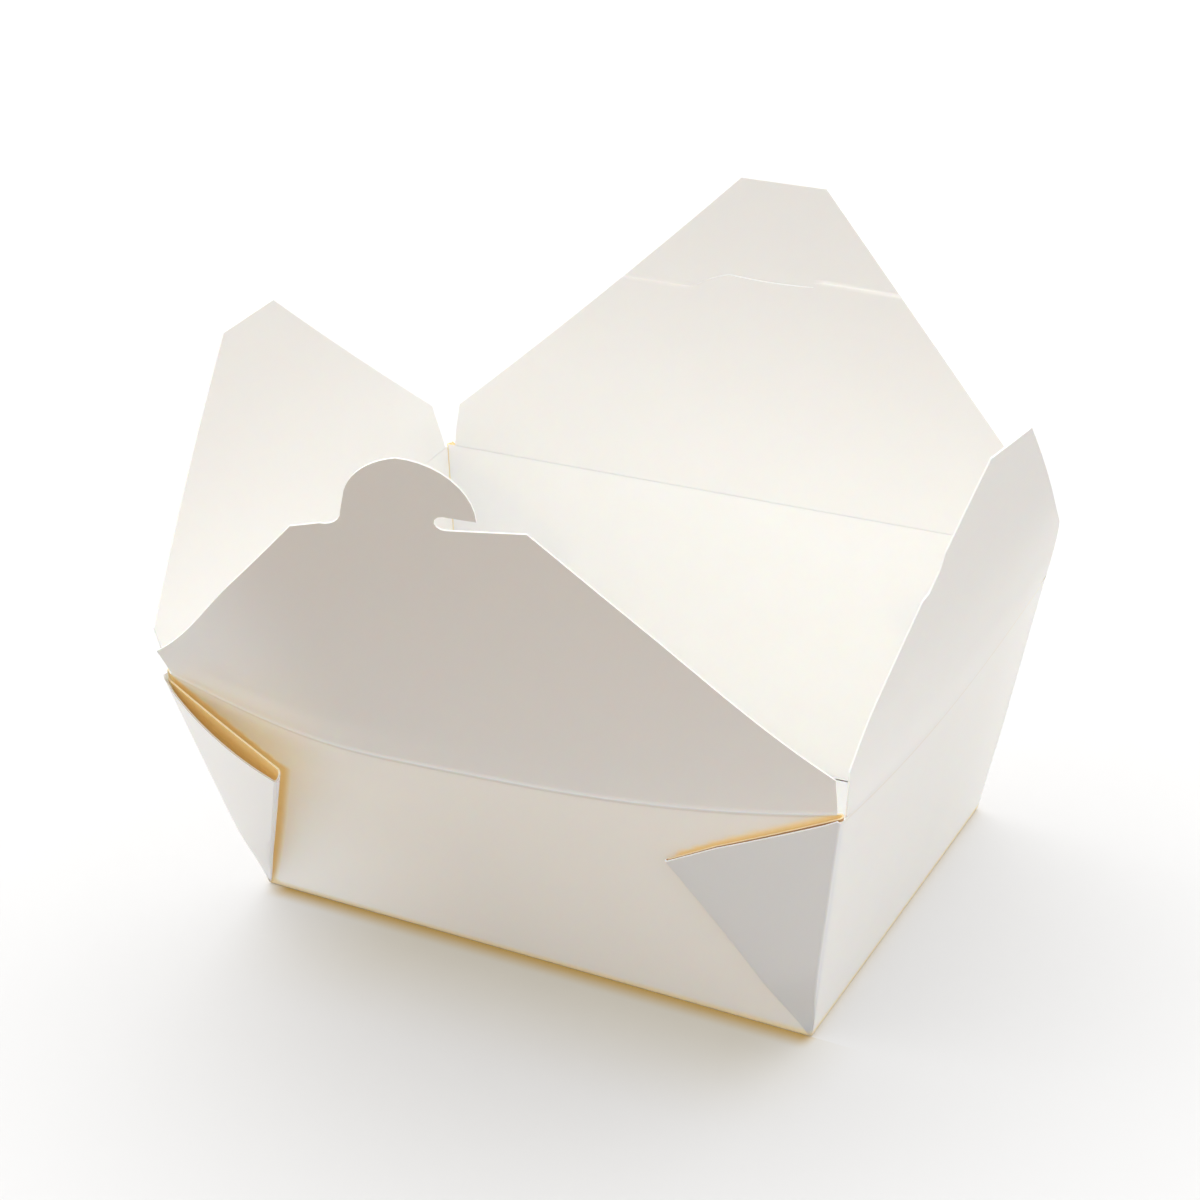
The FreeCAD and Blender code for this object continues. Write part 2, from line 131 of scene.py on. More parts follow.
# The swell at the right flap's back end.
SWELL_STEPS = 8
SWELL_HEIGHT = 0.35
# The nick's corners along its length, and how deep they lie, as shares of its length and depth.
NICK_WALL = 0.12
NICK_FLOOR = 0.3
NICK_RISE = 0.62
NICK_DEEP = 1.15
NICK_BRIM = 0.5
NICK_LEAN = 0.2
# Painted shade of the flaps: how much of the tip's painted shade is at the crease, and how the painted shade
# towards the hook comes in.
LID_SHADE_LOW = 0.3
HOOK_SHADE_REACH = 60 * MM
HOOK_SHADE_LOW = 0.5
# The board's shine varies with its fibre by this much, and its clouds count this much in its relief.
FIBRE_SHINE = 0.16
CLOUD_RELIEF = 0.35
RELIEF_DEPTH = 0.05 * MM
FLOOR_CLOUDS = 0.985
BLACK = (0.0, 0.0, 0.0)
# Sockets of a mix node that mixes colours.
MIX_SHARE = 0
MIX_FIRST = 6
MIX_SECOND = 7
MIX_RESULT = 2
LEAST_FACES = 500
LAMP_PLACE = (-0.9, 1.3, 1.9)
LAMP_TARGET = (0.0, 0.0, 0.06)
LAMP_SIZE = 2.0
LOOK_AT = Vector((-45.2, 81.81, 26.82)) * MM
HARD_EDGE = 0.001 * MM


def distance(name, description, millimetres):
    return FloatProperty(
        name=name,
        description=description,
        default=millimetres * MM,
        precision=5,
        subtype="DISTANCE",
        unit="LENGTH",
    )


def angle(name, description, degrees):
    return FloatProperty(
        name=name,
        description=description,
        default=math.radians(degrees),
        subtype="ANGLE",
        unit="ROTATION",
    )


def factor(name, description, value):
    return FloatProperty(
        name=name,
        description=description,
        default=value,
        min=0.0,
        max=1.0,
        subtype="FACTOR",
    )


def strength(name, description, value):
    return FloatProperty(name=name, description=description, default=value)


def colour(name, description, red, green, blue):
    return FloatVectorProperty(
        name=name,
        description=description,
        default=(red, green, blue),
        min=0.0,
        max=1.0,
        size=3,
        subtype="COLOR",
    )


class TraySizes(bpy.types.PropertyGroup):
    board: distance("Board", "Thickness of the folded board", 0.45)
    base_width: distance("Base width", "Width of the flat base", 152)
    base_depth: distance("Base depth", "Depth of the flat base in its middle", 114)
    base_skew: distance("Base skew", "How far each end of the base's front edge is out of square", 4.4)
    rim_width: distance("Rim width", "Width between the tops of the side walls", 178)
    rim_depth: distance("Rim depth", "Depth between the tops of the front and back walls", 149)
    front_bow: distance("Front bow", "How far the front wall bows out at its rim", 7)
    front_dip: distance("Front dip", "How far the front crease dips in its middle", 8)
    right_bow: distance("Right bow", "How far the right wall bows out at its rim", 2.4)
    right_dip: distance("Right dip", "How far the right crease dips in its middle", 4)
    right_low: distance("Right low", "How much lower the back end of the right crease is", 7)
    # A painted shade line along the right crease.
    right_shade_line: factor("Right line", "How dark the line along the right crease is", 0.8)
    base_right: distance("Base right", "How far the base's right end stands out past its half width", 2.1)
    rim_right: distance("Rim right", "How far the right end of the rim stands out past its half width", 0.8)
    corner_right: distance("Corner right", "How much further right the rim's front right corner stands", 0.75)
    left_low: distance("Left low", "How much lower the left end of the front crease is", 0.6)
    left_sag: distance("Left sag", "How far the front crease sags left of its middle", 3.9)
    sag_place: factor("Sag place", "Where along the front crease it sags", 0.22)
    sag_width: factor("Sag width", "How wide the sag is, as a share of the crease", 0.19)
    lit_reach: distance("Lit reach", "How far along the front wall light comes through from the left", 90)
    lit_fade: distance("Lit fade", "How far below the front crease that light has its full strength", 15)
    right_lit: factor("Right lit", "How much light comes through the front end of the right wall", 0.35)
    right_lit_end: factor("Right lit end", "How much light comes through its back end", 0.9)
    base_left: distance("Base left", "How far the base's left end stands out past its half width", 1.2)
    base_fold: distance("Base fold", "Radius of the fold between base and walls", 0.5)
    corner_fold: distance("Corner fold", "Length of the rounded part on each side of a corner fold", 0.6)
    front_press: distance("Front press", "How far the front crease is pressed outwards", 0.3)
    side_press: distance("Other press", "How far the other creases are pressed inwards", 0.03)
    press_width: distance("Press width", "Half width of the pressed line along a crease", 0.6)
    # A painted highlight along the front crease, and a painted shade line just under a crease.
    ridge_highlight_width: distance("Ridge width", "Half width of the light ridge along the front crease", 0.3)
    line_drop: distance("Line drop", "How far under a crease its darker line runs", 0.8)
    line_width: distance("Line width", "Half width of that line", 0.35)
    # The front wall's warmer tone is painted warm light through one layer, coming in over this distance from
    # its left end.
    front_light_reach: distance("Front tone", "How far from its left end the front wall takes on its own tone", 70)
    foot_fade: distance("Foot fade", "Height over which the tones inside the webs fade towards the foot", 8)


class WebSizes(bpy.types.PropertyGroup):
    reach: distance("Reach", "Distance from a corner to the tip of its folded web", 39.8)
    tip_height: distance("Tip height", "Height of the tip of a web that lies flat", 49.2)
    kink_reach: distance("Kink reach", "Distance from the corner to the kink in the web's cut edge", 28.2)
    kink_height: distance("Kink height", "Height of that kink", 56.5)
    corner_height: distance("Corner height", "Height of the web's cut edge at the corner", 70.9)
    loose_corner: distance("Loose corner height", "Height of the loose web's cut edge at the corner", 68.2)
    layer_gap: distance("Layer gap", "Distance between the middles of two layers near the tip", 1.1)
    corner_gap: distance("Corner gap", "Distance between the wall and the inner layer at the corner", 1.5)
    loose_reach: distance("Loose reach", "Distance from the corner to the tip of the loose web", 36.5)
    loose_shift: distance("Loose shift", "How much further the loose web's outer layer reaches", 1.7)
    loose_angle: angle("Loose angle", "How far the front left web has swung away from the wall", 18)
    loose_tip_height: distance("Loose tip height", "Height of the tip of the loose web", 56.4)
    loose_rise: distance("Loose rise", "How much higher the loose web's inner layer ends", 1.6)
    loose_gap: distance("Loose gap", "Width of the soft fold at the tip of the loose web", 4.2)
    loose_bulge: distance("Loose bulge", "How far the outer layer of the loose web bulges in its middle", 3.2)
    # The warm tone round the webs is painted warm light and shade on the wall.
    glow_up: distance("Glow above", "How far the warm tone reaches above a web's cut edge", 3.4)
    loose_glow_up: distance("Loose glow above", "How far that tone reaches above the loose web", 2.2)
    glow_end: factor("Glow end", "How much of that reach is left at the tip of a flat web", 0.3)
    loose_glow_end: factor("Loose glow end", "How much of it is left at the loose web's tip", 0.6)
    glow_margin: distance("Glow margin", "How far behind a flat web's diagonal fold the warm tone ends", 3.0)
    loose_glow_reach: distance("Loose glow reach", "How far along the wall that tone reaches", 24.6)
    loose_glow_height: distance("Loose glow height", "Height of that warm tone at its far end", 47.2)
    loose_glow_side: distance("Loose glow side", "How far that warm tone fades along the wall", 2.8)


class FrontFlapSizes(bpy.types.PropertyGroup):
    lean: angle("Lean", "How far the flap leans out", 23.3)
    twist: angle("Twist", "How far the flap's tip is turned against its crease", 12)
    height: distance("Height", "Height of the flap up to its top edge", 76)
    top_width: distance("Top width", "Length of the top edge, hook included", 53.5)
    side_edge: distance("Side edge", "Length of the short upright edge at each end", 9.5)
    inset: distance("Inset", "How far the flap's ends stop short of the rim corners", 1)
    right_hollow: distance("Right hollow", "How far the right slanted edge is hollow in its middle", 1.7)
    left_drop: distance("Left drop", "How much lower the left end of the top edge is", 1.8)
    left_reach: distance("Left reach", "How much further left the top edge's left end lies", 1.7)
    right_reach: distance("Right reach", "How much further right the flap's right end lies", 1.0)
    barb_reach: distance("Barb reach", "Distance from the middle to the tip of the hook's barb", 16)
    barb_drop: distance("Barb drop", "How far the barb's tip hangs below the slot's upper side", 1.2)
    tip_bow: distance("Tip bow", "How far the flap bows out at its tip", 2)
    hook_height: distance("Hook height", "Height of the hook above the top edge", 21.4)
    hook_foot: distance("Hook foot", "Half width of the hook where it begins", 15)
    hook_foot_rise: distance("Hook foot rise", "Height of the hook's barb above the top edge", 4.2)
    hook_side: distance("Hook side", "Half width of the hook at its left side", 12.5)
    hook_side_rise: distance("Hook side rise", "Height of that side above the top edge", 11)
    hook_fillet: distance("Hook fillet", "Width of the rounded foot on the left", 6)
    hook_crown: distance("Hook crown", "How far right of the middle the hook is highest", 1.5)
    slot_end: distance("Slot end", "Distance from the middle to the end of the slot under the barb", 6.2)
    slot_foot: distance("Slot foot", "Distance from the middle to where the slot's end begins to round", 8.5)


class BackFlapSizes(bpy.types.PropertyGroup):
    lean: angle("Lean", "How far the flap leans out", 22.7)
    height: distance("Height", "Height of the flap", 85.4)
    top_width: distance("Top width", "Length of the top edge", 24.8)
    side_edge: distance("Side edge", "Length of the short upright edge at each end", 11.7)
    inset: distance("Inset", "How far the flap's ends stop short of the rim corners", 2.6)
    left_hollow: distance("Left hollow", "How far the left slanted edge is hollow in its middle", 0.8)
    score_low: distance("Left score height", "Height of the score left of the slit", 54.4)
    score_high: distance("Right score height", "Height of the score right of the slit", 60.8)
    score_fall: distance("Right score fall", "How much lower the right score ends", 0.7)
    score_end: distance("Right score end", "Distance from the middle to the end of the right score", 38)
    score_depth: distance("Score depth", "Depth of the scores", 0.2)
    score_width: distance("Score width", "Half width of the scores", 0.6)
    slit_left: distance("Slit left", "Distance from the middle to the slit's left end", 20.3)
    slit_left_height: distance("Slit left height", "Height of the slit's left end", 55.2)
    slit_right: distance("Slit right", "Distance from the middle to the slit's right end", 13)
    slit_right_height: distance("Slit right height", "Height of the slit's right end", 58.9)
    slit_crown: distance("Slit crown", "Distance from the middle to the slit's highest part", 11.5)
    slit_crown_height: distance("Slit crown height", "Height of the slit's highest part", 59.0)
    slit_dip: distance("Slit dip", "How far the slit dips between its highest part and its right end", 0.5)
    slit_width: distance("Slit width", "Width of the cut", 0.15)


class SideFlapSizes(bpy.types.PropertyGroup):
    left_lean: angle("Left lean", "How far the left flap leans out", 14.4)
    right_lean: angle("Right lean", "How far the right flap leans out", 9.7)
    left_height: distance("Left height", "Height of the left flap", 66.2)
    right_height: distance("Right height", "Height of the right flap", 65)
    right_twist: angle("Right twist", "How far the right flap's tip is turned against its crease", 3)
    right_front: distance("Right front", "How much further forward the right flap's top edge reaches", 1.6)
    right_rise: distance("Right rise", "How much higher the front end of the right flap's top edge is", 2.5)
    right_swell: distance("Right swell", "How far the right flap's back end swells out above the crease", 2.6)
    right_curl: distance("Right curl", "How far the right flap curls out at its top", 1.3)
    right_settle: distance("Right settle", "Height over which the right flap eases into its crease", 24)
    right_run_out: distance("Right run-out", "Height over which the dip of the right crease runs out", 12)
    right_lit_low: distance("Right lit low", "How far up the right flap the wall's light reaches", 12)
    right_lit_high: distance("Right lit high", "How far up it reaches at the flap's back end", 40)
    top_width: distance("Top width", "Length of the top edges", 24.8)
    side_edge: distance("Side edge", "Length of the short upright edge at each end", 11.5)
    inset: distance("Inset", "How far the flaps' ends stop short of the rim corners", 1.6)
    left_back_rise: distance("Left back rise", "How much longer the left flap's upright back edge is", 1.3)
    left_front_reach: distance("Left front reach", "How much further forward the left flap's front is", 0.7)
    left_curl: distance("Left curl", "How far the left flap curls out in its middle", 1.2)
    nick_start: distance("Nick start", "Distance from the middle to the torn nick", 32.3)
    nick_length: distance("Nick length", "Length of the nick along the slanted edge", 9)
    nick_depth: distance("Nick depth", "Depth of the nick", 2)


class BoardFinish(bpy.types.PropertyGroup):
    outside: colour("Outside", "Coated outside of the board", 0.93, 0.925, 0.915)
    outside_shade: colour("Outside clouds", "Darker clouds in the outside", 0.92, 0.913, 0.90)
    inside: colour("Inside", "Coated inside of the board", 0.94, 0.935, 0.915)
    inside_shade: colour("Inside clouds", "Darker clouds in the inside", 0.932, 0.925, 0.903)
    core: colour("Cut edge", "Raw fibre at the cut edges", 0.95, 0.94, 0.915)
    # Painted shade on the flaps, growing towards their tips.
    lid_inside_shade: colour("Inside of the flaps", "Inside of the flaps towards their tips", 0.76, 0.745, 0.715)
    lid_outside_shade: colour("Outside of the flaps", "Outside of the flaps towards their tips", 0.86, 0.85, 0.835)
    front: colour("Front wall", "Outside of the front wall, with light through one layer", 0.92, 0.88, 0.825)
    # Painted shade on the front flap, growing towards its hook.
    hook_shade: colour("Hooked end", "Outside of the front flap towards its hook", 0.74, 0.70, 0.64)
    # A painted shade line under the front crease.
    score: colour("Score line", "The line right under the front crease", 0.85, 0.81, 0.75)
    # Painted shade where three layers lie on each other.
    layered: colour("Layered board", "Outside where three layers lie on each other", 0.80, 0.777, 0.75)
    # Painted warm light and shade in the gaps of the corner webs and on the wall round them.
    warm: colour("Warm gap", "Warm tone between the layers of the corner webs", 0.98, 0.78, 0.42)
    # Painted dark shade in the narrow gap between two layers that lie close.
    deep: colour("Deep gap", "Inside of the board between two layers that lie close", 0.62, 0.36, 0.16)
    glow: factor("Warm light", "How much light comes through the board in the gaps of the corner webs", 0.05)
    through: colour("Light through", "Light that comes through a single layer", 0.125, 0.12, 0.11)
    # Painted warm light on the cut edge of a web's inner layer.
    warm_edge: colour("Warm cut edge", "Cut edge of a web's inner layer", 0.94, 0.76, 0.48)
    dull_edge: colour("Dull cut edge", "Cut edge of the loose web's outer layer", 0.66, 0.60, 0.50)
    translucence: factor("Translucence", "How much light finds its way through the board", 0.35)
    light_depth: distance("Light depth", "How deep light goes into the board", 0.5)
    cloud_size: distance("Cloud size", "Size of the faint clouds in the coating", 16)
    fibre_size: distance("Fibre size", "Size of the fibre grain under the coating", 0.7)
    roughness: factor("Roughness", "Roughness of the coating", 0.52)


class StageSettings(bpy.types.PropertyGroup):
    azimuth: angle("Azimuth", "Direction of the camera, from the front towards the right", 25.77)
    elevation: angle("Elevation", "Height of the camera above the floor, as an angle", 26.61)
    camera_distance: distance("Camera distance", "Distance from the camera to the point it looks at", 943.36)
    roll: angle("Roll", "Roll of the camera", -1.05)
    focal_length: strength("Focal length", "Lens in millimetres", 99.15)
    floor: colour("Floor", "Colour of the floor", 0.81, 0.81, 0.81)
    # Painted warm light and contact shadow in a band at the front wall's foot.
    floor_foot_glow_and_shadow: colour("Floor glow", "Warm light on the floor at the front wall's foot", 0.60, 0.42, 0.16)
    floor_foot_glow_and_shadow_width: distance("Floor glow width", "Width of that warm light", 6.5)
    # A painted warm shadow on the floor in front of the front wall.
    front_floor_shadow: colour("Floor warmth", "Tone of the floor in front of the front wall", 0.715, 0.685, 0.61)
    front_floor_shadow_width: distance("Floor warmth width", "Width of the floor with that tone", 50)
    floor_size: distance("Floor size", "Length of the floor's sides", 6000)
    floor_bounce: colour("Floor bounce", "Colour of the floor in the light it throws back", 0.45, 0.44, 0.43)
    key_power: strength("Key power", "Power of the large lamp behind, overhead", 2.6)
    sky_even: strength("Even sky", "Strength of the light from all around", 0.76)
    sky_top: strength("Top sky", "Strength of the light from above", 0.1)
    sky_right: strength("Right sky", "Strength of the light from the right", 0.2)
    sky_left: strength("Left sky", "Strength of the light from the left", 0.92)
    sky_back: strength("Back sky", "Strength of the light from behind", 1.1)


def of_scene(context):
    return context.scene.takeaway_box


def blend_values(low, high, share):
    return low + (high - low) * share


def ease(share):
    share = min(max(share, 0.0), 1.0)
    return share * share * (3.0 - 2.0 * share)


def flat(*place):
    """A crease that doesn't dip or sag, or a sheet that stands out nowhere."""
    return 0.0


def crown(share):
    """One in the middle of a span and nothing at its ends, for a share from -1 to 1."""
    return 1.0 - share * share


class Wall:
    """One side of the tray: a ruled sheet from the straight fold at the base to a rim that may bow out."""

    def __init__(self, tray, start, end, outward, flap, press, bow=0.0, dip=0.0, sag=flat):
        self.tray = tray
        self.start = start
        self.end = end
        self.outward = Vector(outward)
        self.crease_end = HINGES[flap].z
        self.press = press
        self.bow = bow
        self.dip = dip
        self.sag = sag

    def corner(self, name, height):
        """The corner's place at a height, drawn in where the fold to the base is round."""
        half = self.tray.board / 2
        rim_top = TRAY_BOX[1].z
        side = 1 if name.endswith("right") else -1
        back = 1 if name.startswith("back") else -1
        skew = 0.0 if back > 0 else -side * self.tray.base_skew
        wide = self.tray.base_width / 2 - half + (self.tray.base_right if side > 0 else self.tray.base_left)
        foot = Vector((side * wide, back * (self.tray.base_depth / 2 - half) + skew, 0))
        rim_wide = self.tray.rim_width / 2 - half
        rim_deep = self.tray.rim_depth / 2 - half
        head = Vector((side * rim_wide, back * rim_deep, rim_top))
        if side > 0:
            head.x += self.tray.rim_right
        if name == "front_right":
            head.x += self.tray.corner_right
        place = foot.lerp(head, height / rim_top)
        below = max(self.tray.base_fold + half - height, 0.0) / self.tray.base_fold
        drawn_in = self.tray.base_fold * (1.0 - math.sqrt(max(1.0 - below * below, 0.0)))
        return Vector((place.x - side * drawn_in, place.y - back * drawn_in, height))

    def width(self, height):
        return (self.corner(self.end, height) - self.corner(self.start, height)).length

    def at(self, share, height):
        place = self.corner(self.start, height).lerp(self.corner(self.end, height), share)
        bow = self.bow * crown(2.0 * share - 1.0) * height / TRAY_BOX[1].z
        return place + self.outward * bow

    def crease(self, share):
        return self.crease_end - self.dip * crown(2.0 * share - 1.0) - self.sag(share)

    def crease_point(self, along):
        """The point of the crease at a distance along the wall from its middle."""
        share = 0.5
        for _ in range(CREASE_ROUNDS):
            share = 0.5 + along / self.width(self.crease(share))
        return self.at(share, self.crease(share))


def walls_of(tray):
    def front_sag(share):
        """How far the front crease hangs below its even curve: at its left end and in a hollow near it."""
        away = (share - tray.sag_place) / tray.sag_width
        low_end = tray.left_low * (1.0 - share) ** LEFT_LOW_POWER
        return low_end + tray.left_sag * math.exp(-away * away)

    def right_sag(share):
        """How far the right crease hangs below its even curve, most at its back end."""
        return tray.right_low * max(share, 0.0) ** RIGHT_LOW_POWER

    out, into = tray.front_press, -tray.side_press
    front_shape = (tray.front_bow, tray.front_dip, front_sag)
    right_shape = (tray.right_bow, tray.right_dip, right_sag)
    return {
        "front": Wall(tray, "front_left", "front_right", (0, -1, 0), "front_flap", out, *front_shape),
        "right": Wall(tray, "front_right", "back_right", (1, 0, 0), "right_flap", into, *right_shape),
        "back": Wall(tray, "back_right", "back_left", (0, 1, 0), "back_flap", into),
        "left": Wall(tray, "back_left", "front_left", (-1, 0, 0), "left_flap", into),
    }


def no_tone(height):
    return 0.0


def full_tone(height):
    return 1.0


class Station:
    """One upright line of the folded tray: its top height, its place at a height, and its tones of painted
    light and shade.
    """

    def __init__(self, top, place, warm_outside=no_tone, warm_inside=no_tone, through=no_tone, **tones):
        self.top = top
        self.place = place
        self.warm_outside = warm_outside
        self.warm_inside = warm_inside
        self.through = through
        self.layered = tones.get("layered", 0.0)
        self.deep = tones.get("deep", 0.0)
        self.front = tones.get("front", 0.0)
        self.line = tones.get("line", 0.0)
        self.press = tones.get("press", Vector())


class Web:
    """A corner web: an inner layer out from the wall's edge, a diagonal fold and an outer layer back."""

    def __init__(self, sizes, tray, wall, at_end, loose):
        self.sizes = sizes
        self.tray = tray
        self.wall = wall
        self.at_end = at_end
        self.loose = loose
        self.reach = sizes.loose_reach if loose else sizes.reach
        self.rise = sizes.loose_rise if loose else 0.0
        self.shift = sizes.loose_shift if loose else 0.0
        self.corner_height = sizes.loose_corner if loose else sizes.corner_height
        self.tip_height = sizes.loose_tip_height if loose else sizes.tip_height
        self.kink = None if loose else sizes.kink_reach / sizes.reach
        # Painted shade where three layers lie, light through the loose web's outer layer, painted dark shade
        # in the close gap of the front right web, and painted warm light inside the others.
        self.layered = 0.0 if loose else 1.0
        self.through = 1.0 if loose else 0.0
        self.deep = 1.0 if wall.outward.y < 0 and not loose else 0.0
        self.warm_inside = no_tone if self.deep else full_tone
        self.glow_reach = sizes.loose_glow_reach if loose else sizes.reach
        self.glow_height = sizes.loose_glow_height if loose else sizes.tip_height
        self.glow_up = sizes.loose_glow_up if loose else sizes.glow_up
        self.glow_end = sizes.loose_glow_end if loose else sizes.glow_end
        self.glow_margin = 0.0 if loose else sizes.glow_margin
        self.glow_side = sizes.loose_glow_side if loose else sizes.glow_margin

    def top(self, share):
        """Height of the cut edge at a share of the way from the corner to the tip."""
        low, high = self.corner_height, self.tip_height
        if self.kink is None:
            return blend_values(low, high, share)
        if share <= self.kink:
            return blend_values(low, self.sizes.kink_height, share / self.kink)
        return blend_values(self.sizes.kink_height, high, (share - self.kink) / (1.0 - self.kink))

    def spread(self, share, height):
        """How far apart the layers stand: nothing at the foot, where all the folds meet."""
        return ease(height / (SPREAD_PART * self.top(share)))

    def inner_gap(self, share):
        return blend_values(self.sizes.corner_gap, self.sizes.layer_gap, share)

    def layer_gap(self, share, lift):
        """Distance between the two layers, which a soft fold holds open at the loose web's tip."""
        if not self.loose:
            return self.sizes.layer_gap
        return blend_values(self.sizes.layer_gap, self.sizes.loose_gap, share * share * min(lift, 1.0))

    def place(self, share, over, outer, height):
        """A point of the web. over is how far it lies past the layer's end, outer the layer from 0 to 1."""
        top = self.top(share)
        lift = height / top
        reach = self.reach * share * lift
        spread = self.spread(share, height)
        gap = self.layer_gap(share, lift)
        off = spread * (self.inner_gap(share) + outer * gap)
        if self.loose:
            off += reach * math.sin(self.sizes.loose_angle)
            off += outer * self.sizes.loose_bulge * crown(2.0 * share - 1.0) * lift * spread
            reach *= math.cos(self.sizes.loose_angle)
        reach += (over * gap + outer * share * lift * self.shift) * spread
        part = reach / self.wall.width(height)
        spot = self.wall.at(1.0 - part if self.at_end else part, height)
        return spot + self.wall.outward * off

    def wall_edge(self, height):
        """How much of the wall's width its round fold takes up."""
        return 0.5 * self.sizes.corner_gap * self.spread(0.0, height)

    def fold_at_corner(self, turn, height):
        gap = self.sizes.corner_gap * self.spread(0.0, height)
        out = gap / 2 * (1.0 - math.cos(turn))
        reach = self.wall_edge(height) - gap / 2 * math.sin(turn)
        part = reach / self.wall.width(height)
        spot = self.wall.at(1.0 - part if self.at_end else part, height)
        return spot + self.wall.outward * out

    def all_stations(self, next_wall, next_share):
        """From the wall's edge to the edge of the next wall."""
        return self.layer_stations() + self.corner_stations(next_wall, next_share)

    def layer_stations(self):
        """From the wall's edge over the inner layer, the diagonal fold and the outer layer."""
        found = []

        def add(top, place, warm_outside, **tones):
            found.append(Station(top, place, warm_outside, self.warm_inside, deep=self.deep, **tones))

        for step in FOLD_STEPS:
            turn = math.radians(step)
            top = blend_values(self.wall.crease_end, self.corner_height, step / HALF_TURN)
            add(top, lambda z, t=turn: self.fold_at_corner(t, z), full_tone)
        shares = [i / LAYER_STEPS for i in range(LAYER_STEPS + 1)]
        if self.kink is not None:
            shares = sorted(set(shares + [self.kink]))
        edge = 0.5 * self.sizes.corner_gap / self.sizes.layer_gap
        for share in shares:
            over = edge * (1.0 - share)
            top = self.top(share) + self.rise * share
            add(top, lambda z, s=share, o=over: self.place(s, o, 0.0, z), full_tone)
        for step in FOLD_STEPS:
            turn = math.radians(step)
            over = math.sin(turn) * (LOOSE_FOLD if self.loose else FLAT_FOLD)
            outer = (1.0 - math.cos(turn)) / 2
            # The painted warm light fades over the tip's fold, and the painted shade of three layers comes
            # in.
            warm = 1.0 - ease(step / WARM_TURN)
            add(
                self.tip_height + self.rise * (1.0 - outer),
                lambda z, o=over, u=outer: self.place(1.0, o, u, z),
                lambda z, w=warm: w,
                layered=self.layered * (1.0 - warm),
                through=lambda z, u=outer: self.through * u,
            )
        for share in reversed(shares[1:]):
            add(
                self.top(share),
                lambda z, s=share: self.place(s, 0.0, 1.0, z),
                no_tone,
                layered=self.layered,
                through=lambda z: self.through,
            )
        return found

    def corner_stations(self, next_wall, next_share):
        """The round fold from the outer layer into the next wall."""
        fold = self.tray.corner_fold

        def at_turn(height, share):
            near = self.place(0.0, fold / self.sizes.layer_gap, 1.0, height)
            corner = self.place(0.0, 0.0, 1.0, height)
            ahead = next_wall.at(1.0 - next_share, height) - next_wall.at(next_share, height)
            away = corner + ahead.normalized() * fold
            one = near.lerp(corner, share)
            two = corner.lerp(away, share)
            return one.lerp(two, share)

        high = next_wall.crease(next_share)
        lit = light_through(next_wall, next_share)
        return [
            Station(
                blend_values(self.corner_height, high, share),
                lambda z, s=share: at_turn(z, s),
                warm_inside=lambda z, s=share: self.warm_inside(z) * (1.0 - s),
                through=lambda z, s=share: blend_values(self.through, lit, s),
                layered=self.layered * (1.0 - share),
                deep=self.deep * (1.0 - share),
            )
            for share in CORNER_SHARES
        ]


def light_through(wall, share):
    """How much more light than elsewhere comes through a wall, at a share of its width."""
    if wall.outward.y < 0:
        return 1.0 - ease(share * wall.width(wall.crease_end) / wall.tray.lit_reach)
    if wall.outward.x > 0:
        return blend_values(wall.tray.right_lit, wall.tray.right_lit_end, max(share, 0.0) ** RIGHT_LIT_POWER)
    return 0.0


def gap_glow(reach, height, web):
    """Warm light on the wall round a web: one or more behind it, falling to nothing where it ends."""
    share = min(reach / web.glow_reach, 1.0)
    edge = blend_values(web.corner_height, web.glow_height, share) if web.loose else web.top(share)
    above = (height - edge) / blend_values(web.glow_up, web.glow_up * web.glow_end, share)
    beside = (reach - height * web.glow_reach / web.glow_height + web.glow_margin) / web.glow_side
    return 1.0 - max(above, beside)


def column_shares(wall, pitch, fine_pitch, fine_reach):
    """Shares along a wall for its columns, closer together near its two ends."""
    width = wall.width(wall.crease_end)
    fine = even_levels(0.0, fine_reach, fine_pitch)
    plain = even_levels(fine_reach, width - fine_reach, pitch)
    spots = [0.0, *fine, fine_reach, *plain, width - fine_reach]
    spots += [width - spot for spot in reversed(fine)] + [width]
    return [spot / width for spot in spots]


def wall_stations(wall, shares, start_web=None, end_web=None):
    found = []
    for share in shares:

        def shifted(height, share=share):
            start = start_web.wall_edge(height) / wall.width(height) if start_web else 0.0
            end = end_web.wall_edge(height) / wall.width(height) if end_web else 0.0
            return blend_values(start, 1.0 - end, share)

        def warm(height, share=share):
            width = wall.width(height)
            glow = -1.0
            if start_web:
                glow = max(glow, gap_glow(share * width, height, start_web))
            if end_web:
                glow = max(glow, gap_glow((1.0 - share) * width, height, end_web))
            return glow

        # The front wall's painted warm light through one layer comes in from its left end.
        from_left = share * wall.width(wall.crease_end)
        front = max(-wall.outward.y, 0.0) * ease(from_left / wall.tray.front_light_reach)

        def through(height, share=share):
            lit = light_through(wall, share)
            if wall.outward.y < 0:
                lit *= ease((wall.crease(share) - height) / wall.tray.lit_fade)
            return lit

        # line marks a painted shade line under the front and the right crease.
        found.append(
            Station(
                wall.crease(share),
                lambda z, f=shifted: wall.at(f(z), z),
                warm if start_web or end_web else no_tone,
                through=through,
                front=front,
                press=wall.outward * wall.press,
                line=front if wall.outward.y < 0 else wall.tray.right_shade_line * max(wall.outward.x, 0.0),
            )
        )
    return found


def clear_selection():
    if bpy.context.object is not None and bpy.context.object.mode != "OBJECT":
        bpy.ops.object.mode_set(mode="OBJECT")
    bpy.ops.object.select_all(action="DESELECT")


def pick(piece):
    clear_selection()
    piece.select_set(True)
    bpy.context.view_layer.objects.active = piece


def edit(select="SELECT"):
    bpy.ops.object.mode_set(mode="EDIT")
    bpy.ops.mesh.select_all(action=select)


def leave_edit():
    bpy.ops.object.mode_set(mode="OBJECT")


def put_down(piece):
    """Bring the object back to the origin, unturned and unscaled, with its place in its mesh."""
    pick(piece)
    bpy.ops.object.transform_apply(location=True, rotation=True, scale=True)


